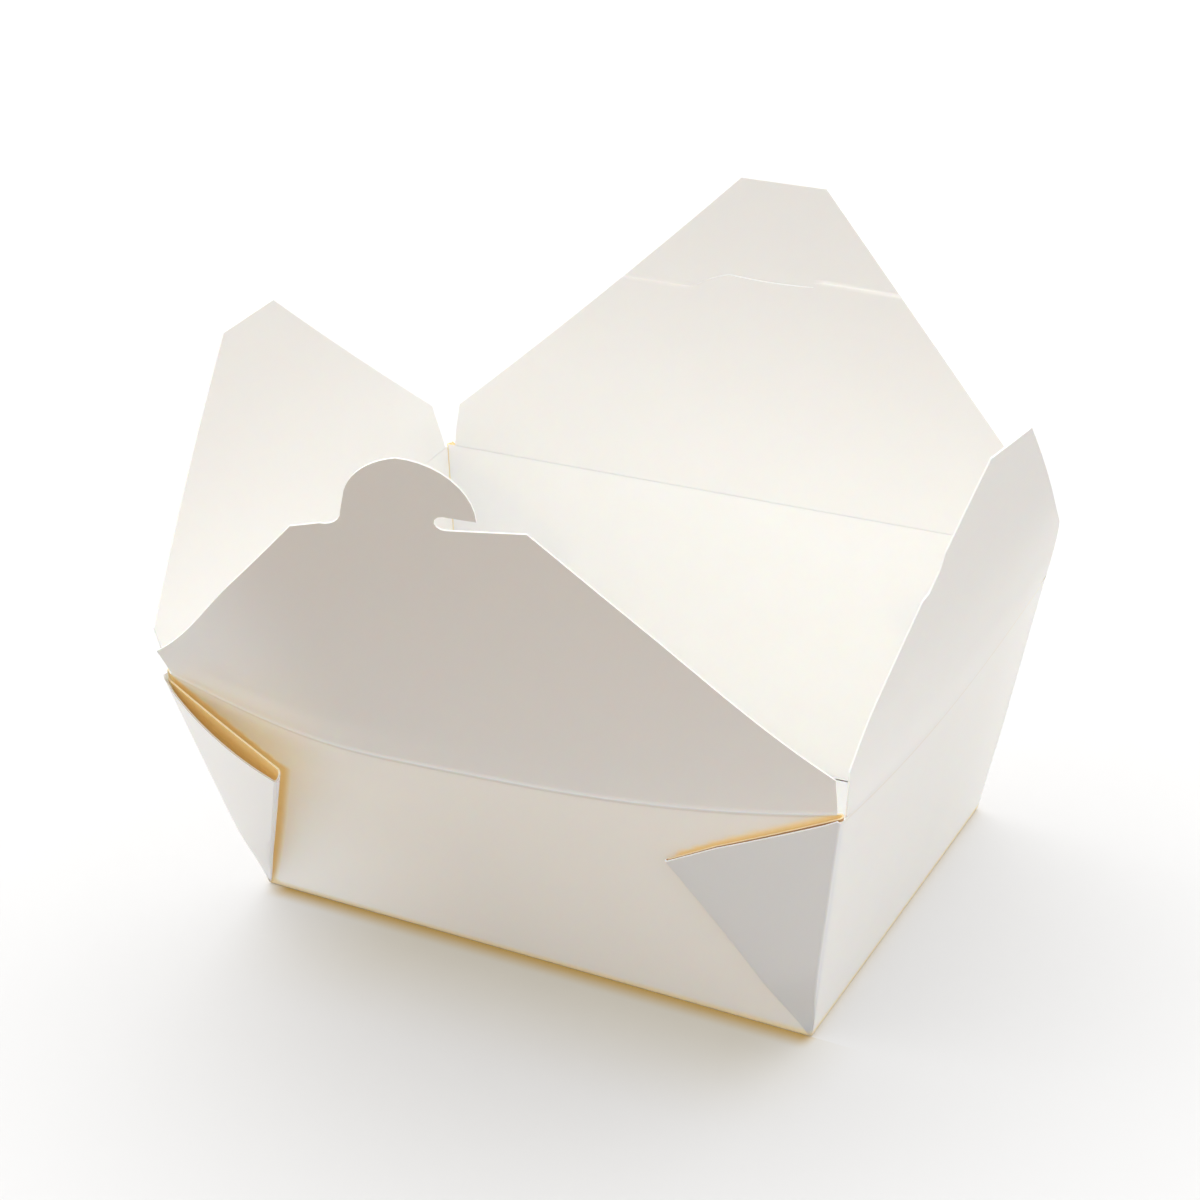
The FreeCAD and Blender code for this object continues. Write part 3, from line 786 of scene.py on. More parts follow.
def thicken(piece, board):
    """Give the sheet the board's thickness, with its own slots for the inner side and the cut edges."""
    pick(piece)
    bpy.ops.object.modifier_add(type="SOLIDIFY")
    solid = piece.modifiers[-1]
    solid.thickness = board
    solid.offset = 0.0
    solid.use_even_offset = False
    solid.material_offset = INSIDE_SLOT
    solid.material_offset_rim = EDGE_SLOT
    bpy.ops.object.modifier_apply(modifier=solid.name)


def finish_board(piece, board, materials):
    for material in materials:
        piece.data.materials.append(material)
    thicken(piece, board)
    pick(piece)
    bpy.ops.object.shade_smooth_by_angle(angle=SMOOTH_ANGLE)


def face_outwards(piece, test):
    """Turn all faces over unless the test face's normal passes."""
    if not test(piece.data):
        pick(piece)
        edit()
        bpy.ops.mesh.flip_normals()
        leave_edit()


def tray_rows(tray):
    """Heights of the foot rows, and distances below the top for the rows at the crease."""
    half = tray.board / 2
    foot = [half + tray.base_fold * (1.0 - math.sin(math.radians(turn))) for turn in FOOT_TURNS]
    top = [span * MM for span in ROW_SPANS]
    return foot, top


def row_height(index, tray, station):
    foot, top = tray_rows(tray)
    if index < len(foot):
        return foot[index]
    start = tray.base_fold + tray.board / 2
    plain = TRAY_ROWS - len(foot) - len(top) + 1
    last = station.top - top[-1]
    step = index - len(foot)
    if step < plain:
        return blend_values(start, last, step / plain)
    return station.top - top[len(top) - 1 - (step - plain)]


# Attributes of painted light and shade on the tray's sheet.
TRAY_TONES = ("warm_outside", "warm_inside", "layered", "front", "ridge_highlight", "score", "through", "deep")


def add_tones(mesh, names):
    """Tone attributes of a mesh by name, looked up only once all of them are there."""
    for name in names:
        mesh.attributes.new(name, "FLOAT", "POINT")
    return {name: mesh.attributes[name] for name in names}


def ridge_highlight_tone(tray, below):
    """A painted highlight along the raised crest of the front crease."""
    return math.exp(-((below / tray.ridge_highlight_width) ** 2))


def shade_line_tone(tray, below):
    """A painted shade line right under a crease."""
    return math.exp(-(((below - tray.line_drop) / tray.line_width) ** 2))


def fold_tray(sizes, materials):
    tray = sizes.tray
    walls = walls_of(tray)
    web_at = {
        "front_left": Web(sizes.web, tray, walls["front"], False, True),
        "front_right": Web(sizes.web, tray, walls["front"], True, False),
        "back_right": Web(sizes.web, tray, walls["back"], False, False),
        "back_left": Web(sizes.web, tray, walls["back"], True, False),
    }
    close = column_shares(walls["front"], COLUMN_PITCH, FINE_COLUMN_PITCH, FINE_COLUMN_REACH)
    even = [i / SIDE_COLUMNS for i in range(SIDE_COLUMNS + 1)]
    ring = wall_stations(walls["front"], close, web_at["front_left"], web_at["front_right"])
    ring += web_at["front_right"].all_stations(walls["right"], 0.0)
    ring += wall_stations(walls["right"], even)[1:-1]
    ring += reversed(web_at["back_right"].all_stations(walls["right"], 1.0))
    ring += wall_stations(walls["back"], close, web_at["back_right"], web_at["back_left"])
    ring += web_at["back_left"].all_stations(walls["left"], 0.0)
    ring += wall_stations(walls["left"], even)[1:-1]
    ring += reversed(web_at["front_left"].all_stations(walls["left"], 1.0))
    columns = len(ring)
    clear_selection()
    bpy.ops.mesh.primitive_grid_add(
        x_subdivisions=columns,
        y_subdivisions=TRAY_ROWS,
        size=1,
        location=(0.5, 0.5, 0),
    )
    piece = bpy.context.object
    piece.name = "tray_sheet"
    put_down(piece)
    mesh = piece.data
    tones = add_tones(mesh, TRAY_TONES)
    for index, vertex in enumerate(mesh.vertices):
        station = ring[round(vertex.co.x * columns) % columns]
        height = row_height(round(vertex.co.y * TRAY_ROWS), tray, station)
        place = station.place(height)
        below = station.top - height
        pressed = below / tray.press_width
        vertex.co = place + station.press * math.exp(-pressed * pressed)
        # A line of painted warm light and shade at the wall's foot.
        at_foot = math.exp(-(((height - tray.board) / tray.base_fold) ** 2))
        above_foot = ease(height / tray.foot_fade)
        values = {
            "warm_outside": max(station.warm_outside(height), at_foot),
            "warm_inside": station.warm_inside(height) * above_foot,
            "layered": station.layered,
            "front": station.front,
            # A painted highlight along the front crease and a painted shade line under the creases.
            "ridge_highlight": station.front * ridge_highlight_tone(tray, below),
            "score": station.line * shade_line_tone(tray, below),
            "through": station.through(height),
            "deep": station.deep * above_foot,
        }
        for name, value in values.items():
            tones[name].data[index].value = value
    edit()
    bpy.ops.mesh.remove_doubles(threshold=TRAY_WELD)
    leave_edit()
    edit("DESELECT")
    leave_edit()
    foot = tray.board / 2 + LEVEL_SLACK
    for edge in mesh.edges:
        edge.select = all(mesh.vertices[v].co.z < foot for v in edge.vertices)
    bpy.ops.object.mode_set(mode="EDIT")
    bpy.ops.mesh.select_mode(type="EDGE")
    bpy.ops.mesh.edge_face_add()
    bpy.ops.mesh.inset(thickness=tray.board)
    leave_edit()
    tones = {name: mesh.attributes[name] for name in TRAY_TONES}
    for vertex in mesh.vertices:
        if vertex.select:
            for tone in tones.values():
                tone.data[vertex.index].value = 0.0
    edit()
    bpy.ops.mesh.normals_make_consistent(inside=False)
    leave_edit()
    face_outwards(piece, lambda data: max(data.polygons, key=lambda p: p.area).normal.z < 0)
    finish_board(piece, tray.board, materials)
    return piece


def arc(start, middle, end, steps=ARC_STEPS):
    """Points from start towards end on the circle through three points, without the end itself."""
    a, b, c = Vector(start), Vector(middle), Vector(end)
    twice = 2.0 * ((b - a).x * (c - a).y - (b - a).y * (c - a).x)
    bb = (b - a).length_squared
    cc = (c - a).length_squared
    centre = a + Vector(((c - a).y * bb - (b - a).y * cc, (b - a).x * cc - (c - a).x * bb)) / twice
    first = (a - centre).angle_signed(b - centre)
    second = (b - centre).angle_signed(c - centre)
    turn = -(first + second)
    points = []
    for i in range(steps):
        swing = Matrix.Rotation(turn * i / steps, 2)
        points.append(tuple(centre + swing @ (a - centre)))
    return points


def hollow(start, end, depth):
    """Points from start towards end on a line that is hollow by a depth in its middle."""
    a, b = Vector(start), Vector(end)
    inward = Vector((a.y - b.y, b.x - a.x)).normalized()
    return arc(a, (a + b) / 2 + inward * depth, b)


def cut_blank(name, outline, levels, pitch):
    """Cut a flat blank to its outline and divide it along levels and, at a pitch, across them."""
    clear_selection()
    bpy.ops.mesh.primitive_circle_add(vertices=len(outline), radius=1, fill_type="NGON")
    piece = bpy.context.object
    piece.name = name
    for vertex, (along, up) in zip(piece.data.vertices, outline):
        vertex.co = (along, up, 0)
    reach = max(abs(along) for along, up in outline)
    across = int(reach / pitch)
    edit()
    for step in range(-across, across + 1):
        bpy.ops.mesh.select_all(action="SELECT")
        bpy.ops.mesh.bisect(plane_co=(step * pitch, 0, 0), plane_no=(1, 0, 0))
    for level in levels:
        bpy.ops.mesh.select_all(action="SELECT")
        bpy.ops.mesh.bisect(plane_co=(0, level, 0), plane_no=(0, 1, 0))
    bpy.ops.mesh.select_all(action="SELECT")
    bpy.ops.mesh.remove_doubles(threshold=BLANK_WELD)
    bpy.ops.mesh.normals_make_consistent(inside=False)
    leave_edit()
    return piece


class Flap:
    """A flap's own frame: along its crease, up its leaning sheet and outwards from it."""

    def __init__(self, name, along, outward, lean, wall, reversed_along=False):
        self.origin = HINGES[name]
        self.along = Vector(along)
        outward = Vector(outward)
        level = Vector((0, 0, 1))
        self.up = level * math.cos(lean) + outward * math.sin(lean)
        self.out = outward * math.cos(lean) - level * math.sin(lean)
        self.wall = wall
        self.sign = -1 if reversed_along else 1

    def at(self, along, up, out):
        return self.origin + self.along * along + self.up * up + self.out * out

    def crease_spot(self, along):
        return self.wall.crease_point(self.sign * along)


def lid_shade_tone(level, height):
    """Painted shade of the flaps, from little at the crease to full at the tip."""
    return blend_values(LID_SHADE_LOW, 1.0, min(max(level / height, 0.0), 1.0))


# Mark a flap's painted shade, growing towards its tip.
def mark_lid_shade(piece, height):
    tones = add_tones(piece.data, ("lid",))
    for index, vertex in enumerate(piece.data.vertices):
        tones["lid"].data[index].value = lid_shade_tone(vertex.co.y, height)


def bend_flap(piece, flap, tray, drop, bulge, settle, run_out=DIP_RUN_OUT, press=flat):
    """Bend a flat blank to its flap: drop is how far its crease dips, bulge how far a point stands out.
    settle is the height over which the sheet eases into the crease that the wall has, and run_out the
    height over which the dip runs out."""
    for vertex in piece.data.vertices:
        along, level = vertex.co.x, vertex.co.y
        dip = drop(along)
        height = level - dip * (1.0 - ease(level / run_out))
        place = flap.at(along, height, bulge(along, height))
        miss = flap.crease_spot(along) - flap.at(along, -dip, bulge(along, -dip))
        place += miss * (1.0 - ease(level / settle))
        pressed = flap.wall.press * math.exp(-((level / tray.press_width) ** 2))
        vertex.co = place + flap.out * (pressed + press(along, level))


def even_levels(start, end, pitch):
    count = max(int(round((end - start) / pitch)), 1)
    return [blend_values(start, end, i / count) for i in range(1, count)]


def crease_levels(spans, top):
    """Levels of a blank: very close at the crease, close where it bends, and wider above."""
    fine_end, fine_pitch, pitch = spans
    near = [span * MM for span in CREASE_SPANS]
    fine = [fine_end] + even_levels(near[-1], fine_end, fine_pitch)
    return near + fine + even_levels(fine_end, top, pitch)


def make_front_flap(sizes, materials):
    tray, front = sizes.tray, sizes.front
    half_rim = tray.rim_width / 2
    taper = (tray.rim_depth - tray.base_depth) / 2
    rim_top = TRAY_BOX[1].z
    out = tray.front_bow * (1.0 - tray.front_dip / rim_top) - taper * tray.front_dip / rim_top
    arch = out * math.cos(front.lean) + tray.front_dip * math.sin(front.lean)
    drop = tray.front_dip * math.cos(front.lean) - out * math.sin(front.lean)
    low = drop + BOW_MARGIN
    high = front.height + front.hook_height + BOW_MARGIN
    swing = half_rim * math.sin(front.twist)
    end = half_rim - front.inset
    top = front.top_width / 2
    height = front.height
    barb = height + front.hook_foot_rise
    slot = front.slot_foot
    hook = height + front.hook_height
    right_end = end + front.right_reach
    outline = [(-end, 0.0), (end, 0.0)]
    outline += hollow((right_end, front.side_edge), (top, height), front.right_hollow)
    outline += [(top, height)]
    slot_middle = (front.slot_end, height + front.hook_foot_rise / 2)
    outline += arc((slot, height), slot_middle, (slot, barb), SLOT_STEPS)
    outline += [(slot, barb)]
    outline += arc(
        (front.barb_reach, barb - front.barb_drop),
        (front.hook_foot * HOOK_RIGHT_ARC[0], height + front.hook_height * HOOK_RIGHT_ARC[1]),
        (front.hook_crown, hook),
        HOOK_STEPS,
    )
    outline += arc(
        (front.hook_crown, hook),
        (-front.hook_side * HOOK_LEFT_ARC[0], height + front.hook_height * HOOK_LEFT_ARC[1]),
        (-front.hook_side, height + front.hook_side_rise),
        HOOK_STEPS,
    )
    outline += [(-front.hook_side, height + front.hook_side_rise)]
    outline += arc(
        (-front.hook_foot, barb),
        (
            -front.hook_foot - front.hook_fillet * HOOK_FOOT_ARC[0],
            height + front.hook_foot_rise * HOOK_FOOT_ARC[1],
        ),
        (-front.hook_foot - front.hook_fillet, height),
        SLOT_STEPS,
    )
    outline += [(-front.hook_foot - front.hook_fillet, height)]
    outline += [(-top - front.left_reach, height - front.left_drop)]
    outline += [(-end, front.side_edge)]

    def stands_out(along, up):
        share = along / half_rim
        rise = (up + low) / (high + low)
        at_low = arch * crown(share) + swing * share * low / high
        at_high = front.tip_bow * crown(share) - swing * share
        return blend_values(at_low, at_high, rise)

    piece = cut_blank("front_flap_sheet", outline, crease_levels(FRONT_LEVELS, hook), FRONT_PITCH)
    wall = walls_of(tray)["front"]
    flap = Flap("front_flap", (1, 0, 0), (0, -1, 0), front.lean, wall)
    # Painted shade towards the flap's tip and its hook, and a painted highlight along its crease.
    tones = add_tones(piece.data, ("lid", "hook_shade", "ridge_highlight"))
    for index, vertex in enumerate(piece.data.vertices):
        level = vertex.co.y
        from_left = ease((vertex.co.x + end) / HOOK_SHADE_REACH)
        tones["lid"].data[index].value = lid_shade_tone(level, hook)
        tones["hook_shade"].data[index].value = from_left * blend_values(HOOK_SHADE_LOW, 1.0, level / hook)
        tones["ridge_highlight"].data[index].value = ridge_highlight_tone(tray, level)

    def dips(along):
        share = along / half_rim
        return drop * crown(share) + wall.sag((share + 1.0) / 2) * math.cos(front.lean)

    bend_flap(piece, flap, tray, dips, stands_out, FRONT_SETTLE)
    face_outwards(piece, lambda data: sum(p.normal.y for p in data.polygons) < 0)
    finish_board(piece, tray.board, materials)
    return piece


def cut_slit(piece, sizes, flap, materials):
    """Cut the lock's slit through the back flap with a thin curved blade."""
    back = sizes.back
    width = back.slit_width
    left = (-back.slit_left, back.slit_left_height)
    peak = (-back.slit_crown, back.slit_crown_height)
    right = (back.slit_right, back.slit_right_height)
    half_way = blend_values(back.slit_left_height, back.slit_crown_height, SLIT_SHOULDER)
    shoulder = (-(back.slit_left + back.slit_crown) / 2, half_way)
    saddle = ((back.slit_right - back.slit_crown) / 2, back.slit_crown_height - back.slit_dip)
    lower = arc(left, shoulder, peak) + arc(peak, saddle, right, SLIT_RIGHT_STEPS) + [right]
    upper = [(along, up + width) for along, up in reversed(lower)]
    clear_selection()
    bpy.ops.mesh.primitive_circle_add(vertices=len(lower) * 2, radius=1, fill_type="NGON")
    blade = bpy.context.object
    blade.name = "slit_blade"
    for vertex, (along, up) in zip(blade.data.vertices, lower + upper):
        vertex.co = flap.at(along, up, 0.0)
    for material in materials:
        blade.data.materials.append(material)
    pick(blade)
    bpy.ops.object.modifier_add(type="SOLIDIFY")
    solid = blade.modifiers[-1]
    solid.thickness = BLADE_DEPTH * sizes.tray.board
    solid.offset = 0.0
    bpy.ops.object.modifier_apply(modifier=solid.name)
    edit()
    bpy.ops.mesh.normals_make_consistent(inside=False)
    leave_edit()
    for face in blade.data.polygons:
        face.material_index = EDGE_SLOT
    pick(piece)
    bpy.ops.object.modifier_add(type="BOOLEAN")
    cut = piece.modifiers[-1]
    cut.operation = "DIFFERENCE"
    cut.object = blade
    cut.solver = "EXACT"
    bpy.ops.object.modifier_apply(modifier=cut.name)
    bpy.data.objects.remove(blade)


def make_back_flap(sizes, materials):
    tray, back = sizes.tray, sizes.back
    end = tray.rim_width / 2 - back.inset
    top = back.top_width / 2
    outline = [
        (-end, 0.0),
        (end, 0.0),
        (end, back.side_edge),
        (top, back.height),
    ]
    outline += hollow((-top, back.height), (-end, back.side_edge), back.left_hollow)
    outline += [(-end, back.side_edge)]
    levels = crease_levels(PLAIN_LEVELS, back.height)
    levels += [back.score_low + back.score_width * step for step in LEFT_SCORE_LEVELS]
    levels += [back.score_high + back.score_width * step for step in RIGHT_SCORE_LEVELS]
    piece = cut_blank("back_flap_sheet", outline, sorted(levels), PLAIN_PITCH)

    def scores(along, level):
        """How deep in the left and the right score a point lies, from 0 to 1."""
        fall = back.score_fall * (along - back.slit_right) / (back.score_end - back.slit_right)
        left = (level - back.score_low) / back.score_width
        right = (level - back.score_high + fall) / back.score_width
        on_left = ease((-back.slit_left - along) / SCORE_FADE)
        on_right = ease((along - back.slit_right) / SCORE_FADE)
        return on_left * math.exp(-left * left), on_right * math.exp(-right * right)

    def press(along, level):
        return back.score_depth * sum(scores(along, level))

    flap = Flap("back_flap", (1, 0, 0), (0, 1, 0), back.lean, walls_of(tray)["back"], reversed_along=True)
    # Painted shade towards the flap's tip, and painted highlights along the scores.
    tones = add_tones(piece.data, ("lid", "ridge_highlight"))
    for index, vertex in enumerate(piece.data.vertices):
        left, right = scores(vertex.co.x, vertex.co.y)
        tones["lid"].data[index].value = lid_shade_tone(vertex.co.y, back.height)
        tones["ridge_highlight"].data[index].value = LEFT_SCORE_HIGHLIGHT * left + RIGHT_SCORE_HIGHLIGHT * right
    bend_flap(piece, flap, tray, flat, flat, PLAIN_SETTLE, press=press)
    face_outwards(piece, lambda data: sum(p.normal.y for p in data.polygons) > 0)
    for material in materials:
        piece.data.materials.append(material)
    thicken(piece, tray.board)
    cut_slit(piece, sizes, flap, materials)
    # The painted shade towards the tip, worked out again on the cut board.
    lid = piece.data.attributes["lid"]
    for index, vertex in enumerate(piece.data.vertices):
        lid.data[index].value = lid_shade_tone((vertex.co - flap.origin).dot(flap.up), back.height)
    pick(piece)
    bpy.ops.object.shade_flat()
    return piece


def side_outline(tray, side, height, nick):
    end = tray.rim_depth / 2 - side.inset
    top = side.top_width / 2
    outline = [
        (-end, 0.0),
        (end, 0.0),
        (end, side.side_edge),
        (top, height),
        (-top, height),
    ]
    if nick:
        low = Vector((tray.rim_depth / 2, 0.0))
        mid = Vector((end + 2.0 * side.right_swell, side.side_edge * SWELL_HEIGHT))
        high = Vector((end, side.side_edge))
        parts = [i / SWELL_STEPS for i in range(SWELL_STEPS + 1)]
        swell = [tuple(low.lerp(mid, part).lerp(mid.lerp(high, part), part)) for part in parts]
        outline = [outline[0], *swell, (top, height)]
        outline += [(-top - side.right_front, height + side.right_rise)]
        slope = (height + side.right_rise - side.side_edge) / (end - top - side.right_front)
        high = side.side_edge + slope * (end - side.nick_start)
        start, length, depth = -side.nick_start, side.nick_length, side.nick_depth
        floor = high - slope * length * NICK_FLOOR - depth * NICK_DEEP
        outline += [
            (start, high),
            (start - length * NICK_WALL, floor + depth * NICK_BRIM),
            (start - length * NICK_FLOOR + depth * NICK_LEAN, floor),
            (start - length * NICK_RISE, floor - slope * length * (1.0 - NICK_RISE)),
            (start - length, high - slope * length),
        ]
        return outline + [(-end, side.side_edge)]
    front_end = -end - side.left_front_reach
    outline[0] = (front_end, 0.0)
    outline[2] = (end, side.side_edge + side.left_back_rise)
    return outline + [(front_end, side.side_edge)]


def make_left_flap(sizes, materials):
    tray, side = sizes.tray, sizes.side
    height = side.left_height
    outline = side_outline(tray, side, height, False)
    piece = cut_blank("left_flap_sheet", outline, crease_levels(PLAIN_LEVELS, height), PLAIN_PITCH)
    wall = walls_of(tray)["left"]
    flap = Flap("left_flap", (0, 1, 0), (-1, 0, 0), side.left_lean, wall, reversed_along=True)

    def stands_out(along, up):
        share = min(max(up / height, 0.0), 1.0)
        return side.left_curl * crown(2.0 * share - 1.0)

    mark_lid_shade(piece, height)
    bend_flap(piece, flap, tray, flat, stands_out, PLAIN_SETTLE)
    face_outwards(piece, lambda data: sum(p.normal.x for p in data.polygons) < 0)
    finish_board(piece, tray.board, materials)
    return piece


def make_right_flap(sizes, materials):
    tray, side = sizes.tray, sizes.side
    half_depth = tray.rim_depth / 2
    taper = (tray.rim_width - tray.base_width) / 2
    wall_top = HINGES["right_flap"].z
    out = tray.right_bow * (1.0 - tray.right_dip / wall_top) - taper * tray.right_dip / wall_top
    arch = out * math.cos(side.right_lean) + tray.right_dip * math.sin(side.right_lean)
    drop = tray.right_dip * math.cos(side.right_lean) - out * math.sin(side.right_lean)
    height = side.right_height
    outline = side_outline(tray, side, height, True)
    piece = cut_blank("right_flap_sheet", outline, crease_levels(RIGHT_LEVELS, height), PLAIN_PITCH)
    wall = walls_of(tray)["right"]
    flap = Flap("right_flap", (0, 1, 0), (1, 0, 0), side.right_lean, wall)

    def dips(along):
        share = along / half_depth
        return drop * crown(share) + wall.sag((share + 1.0) / 2) * math.cos(side.right_lean)

    def stands_out(along, up):
        share = (up + drop) / (height + drop)
        curl = side.right_curl * max(share, 0.0) ** 2 + math.sin(side.right_twist) * along * share
        return blend_values(arch, arch / 2, share) * crown(along / half_depth) + curl

    mark_lid_shade(piece, height)
    through = add_tones(piece.data, ("through",))["through"]
    for index, vertex in enumerate(piece.data.vertices):
        lit = light_through(wall, (vertex.co.x / half_depth + 1.0) / 2)
        low_part = lit * (1.0 - ease(vertex.co.y / side.right_lit_low))
        high_part = max(lit - tray.right_lit, 0.0) * (1.0 - ease(vertex.co.y / side.right_lit_high))
        through.data[index].value = max(low_part, high_part)
    bend_flap(piece, flap, tray, dips, stands_out, side.right_settle, side.right_run_out)
    face_outwards(piece, lambda data: sum(p.normal.x for p in data.polygons) > 0)
    finish_board(piece, tray.board, materials)
    return piece


def new_group(name, inputs, outputs):
    group = bpy.data.node_groups.new(name, "ShaderNodeTree")
    for label, kind, default in inputs:
        socket = group.interface.new_socket(label, in_out="INPUT", socket_type=kind)
        socket.default_value = default
    for label, kind in outputs:
        group.interface.new_socket(label, in_out="OUTPUT", socket_type=kind)
    return group, group.nodes.new("NodeGroupInput"), group.nodes.new("NodeGroupOutput")


def math_node(tree, operation, first, second):
    node = tree.nodes.new("ShaderNodeMath")
    node.operation = operation
    for socket, value in zip(node.inputs, (first, second)):
        if isinstance(value, (int, float)):
            socket.default_value = value
        else:
            tree.links.new(value, socket)
    return node.outputs[0]


def mix_colours(tree, share, first, second):
    node = tree.nodes.new("ShaderNodeMix")
    node.data_type = "RGBA"
    for index, value in ((MIX_SHARE, share), (MIX_FIRST, first), (MIX_SECOND, second)):
        socket = node.inputs[index]
        if isinstance(value, bpy.types.NodeSocket):
            tree.links.new(value, socket)
        elif isinstance(value, float):
            socket.default_value = value
        else:
            socket.default_value = (*value, 1.0)
    return node.outputs[MIX_RESULT]


def noise(tree, place, scale, detail, roughness):
    node = tree.nodes.new("ShaderNodeTexNoise")
    tree.links.new(place, node.inputs["Vector"])
    tree.links.new(scale, node.inputs["Scale"])
    node.inputs["Detail"].default_value = detail
    node.inputs["Roughness"].default_value = roughness
    return node.outputs[0]


def board_fibre_group():
    """Faint clouds in the coating and the fibre grain that shows through it."""
    group, given, made = new_group(
        "board_fibre",
        [
            ("Clouds per metre", "NodeSocketFloat", 60.0),
            ("Fibres per metre", "NodeSocketFloat", 1400.0),
            ("Shine", "NodeSocketFloat", 0.5),
        ],
        [("Clouds", "NodeSocketFloat"), ("Roughness", "NodeSocketFloat"), ("Height", "NodeSocketFloat")],
    )
    place = group.nodes.new("ShaderNodeTexCoord").outputs["Object"]
    clouds = noise(group, place, given.outputs["Clouds per metre"], detail=3.0, roughness=0.55)
    stretch = group.nodes.new("ShaderNodeMapping")
    stretch.inputs["Scale"].default_value = (1.0, 0.45, 0.7)
    group.links.new(place, stretch.inputs["Vector"])
    fibre_place = stretch.outputs[0]
    fibres = noise(group, fibre_place, given.outputs["Fibres per metre"], detail=4.0, roughness=0.6)
    sharper = group.nodes.new("ShaderNodeMapRange")
    sharper.inputs["From Min"].default_value = 0.34
    sharper.inputs["From Max"].default_value = 0.66
    group.links.new(clouds, sharper.inputs["Value"])
    rough = math_node(group, "MULTIPLY_ADD", fibres, FIBRE_SHINE)
    group.links.new(given.outputs["Shine"], rough.node.inputs[2])
    height = math_node(group, "MULTIPLY_ADD", clouds, CLOUD_RELIEF)
    group.links.new(fibres, height.node.inputs[2])
    group.links.new(sharper.outputs[0], made.inputs["Clouds"])
    group.links.new(rough, made.inputs["Roughness"])
    group.links.new(height, made.inputs["Height"])
    return group


def board_material(name, fibres, finish, plain, shade, tones, bump, glow=None, through=None):
    """Coated board: two close tones in clouds, fibre in its shine and relief, and painted light and shade
    where it is marked.
    glow is the light in a gap, which the last tone marks, and through the light through a single layer; both
    are emitted."""
    material = bpy.data.materials.new(name)
    material.use_nodes = True
    tree = material.node_tree
    shader = tree.nodes["Principled BSDF"]
    fibre = tree.nodes.new("ShaderNodeGroup")
    fibre.node_tree = fibres
    fibre.inputs["Clouds per metre"].default_value = 1.0 / finish.cloud_size
    fibre.inputs["Fibres per metre"].default_value = 1.0 / finish.fibre_size
    fibre.inputs["Shine"].default_value = finish.roughness - FIBRE_SHINE / 2
    base = mix_colours(tree, fibre.outputs["Clouds"], plain, shade)
    for attribute, colour_there in tones:
        mask = tree.nodes.new("ShaderNodeAttribute")
        mask.attribute_name = attribute
        soft = tree.nodes.new("ShaderNodeMapRange")
        soft.interpolation_type = "SMOOTHSTEP"
        tree.links.new(mask.outputs["Fac"], soft.inputs["Value"])
        base = mix_colours(tree, soft.outputs[0], base, tuple(colour_there))
    if glow:
        lit = BLACK
        if through:
            passed = tree.nodes.new("ShaderNodeAttribute")
            passed.attribute_name = "through"
            lit = mix_colours(tree, passed.outputs["Fac"], lit, through)
        lit = mix_colours(tree, soft.outputs[0], lit, glow)
        tree.links.new(lit, shader.inputs["Emission Color"])
        shader.inputs["Emission Strength"].default_value = 1.0
        # The glow is too faint to be worth sampling as a lamp, which would slow the render.
        material.cycles.emission_sampling = "NONE"
    tree.links.new(base, shader.inputs["Base Color"])
    tree.links.new(fibre.outputs["Roughness"], shader.inputs["Roughness"])
    relief = tree.nodes.new("ShaderNodeBump")
    relief.inputs["Strength"].default_value = bump
    relief.inputs["Distance"].default_value = RELIEF_DEPTH
    tree.links.new(fibre.outputs["Height"], relief.inputs["Height"])
    tree.links.new(relief.outputs[0], shader.inputs["Normal"])
    shader.inputs["IOR"].default_value = 1.45
    shader.inputs["Specular IOR Level"].default_value = 0.35
    shader.inputs["Subsurface Weight"].default_value = finish.translucence
    shader.inputs["Subsurface Radius"].default_value = (1.0, 0.72, 0.42)
    shader.inputs["Subsurface Scale"].default_value = finish.light_depth
    return material


def board_materials(finish):
    found = [bpy.data.materials.get(name) for name in ("coated_outside", "coated_inside", "cut_edge")]
    if all(found):
        return found
    fibres = board_fibre_group()
    # The gaps' painted warm light, emitted.
    glow = tuple(finish.warm * finish.glow)
    return [
        board_material(
            "coated_outside",
            fibres,
            finish,
            tuple(finish.outside),
            tuple(finish.outside_shade),
            (
                # Painted shade towards the flaps' tips and the hook, warm light through the front wall, shade
                # on three layers, a shade line and a highlight along the creases, and warm light in the gaps.
                ("lid", finish.lid_outside_shade),
                ("front", finish.front),
                ("layered", finish.layered),
                ("hook_shade", finish.hook_shade),
                ("score", finish.score),
                ("ridge_highlight", finish.core),
                ("warm_outside", finish.warm),
            ),
            bump=0.35,
            glow=glow,
            through=tuple(finish.through),
        ),
        board_material(
            "coated_inside",
            fibres,
            finish,
            tuple(finish.inside),
            tuple(finish.inside_shade),
            (
                # Painted shade towards the flaps' tips, highlights along the creases and scores, dark shade
                # in close gaps and warm light in the others.
                ("lid", finish.lid_inside_shade),
                ("ridge_highlight", finish.core),
                ("deep", finish.deep),
                ("warm_inside", finish.warm),
            ),
            bump=0.3,
            glow=glow,
        ),
        board_material(
            "cut_edge",
            fibres,
            finish,
            tuple(finish.core),
            tuple(finish.inside),
            # Darker on the loose web's outer cut edge, and painted warm light on cut edges near the gaps.
            (("through", finish.dull_edge), ("warm_outside", finish.warm_edge)),
            bump=0.6,
        ),
    ]


def check_piece(piece):
    if len(piece.data.polygons) < LEAST_FACES:
        raise RuntimeError(f"{piece.name} has only {len(piece.data.polygons)} faces")


def hang_flap(piece, name):
    """Check the flap, bake its place into its mesh and hide the part that it stands for."""
    check_piece(piece)
    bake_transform(piece)
    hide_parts(name)


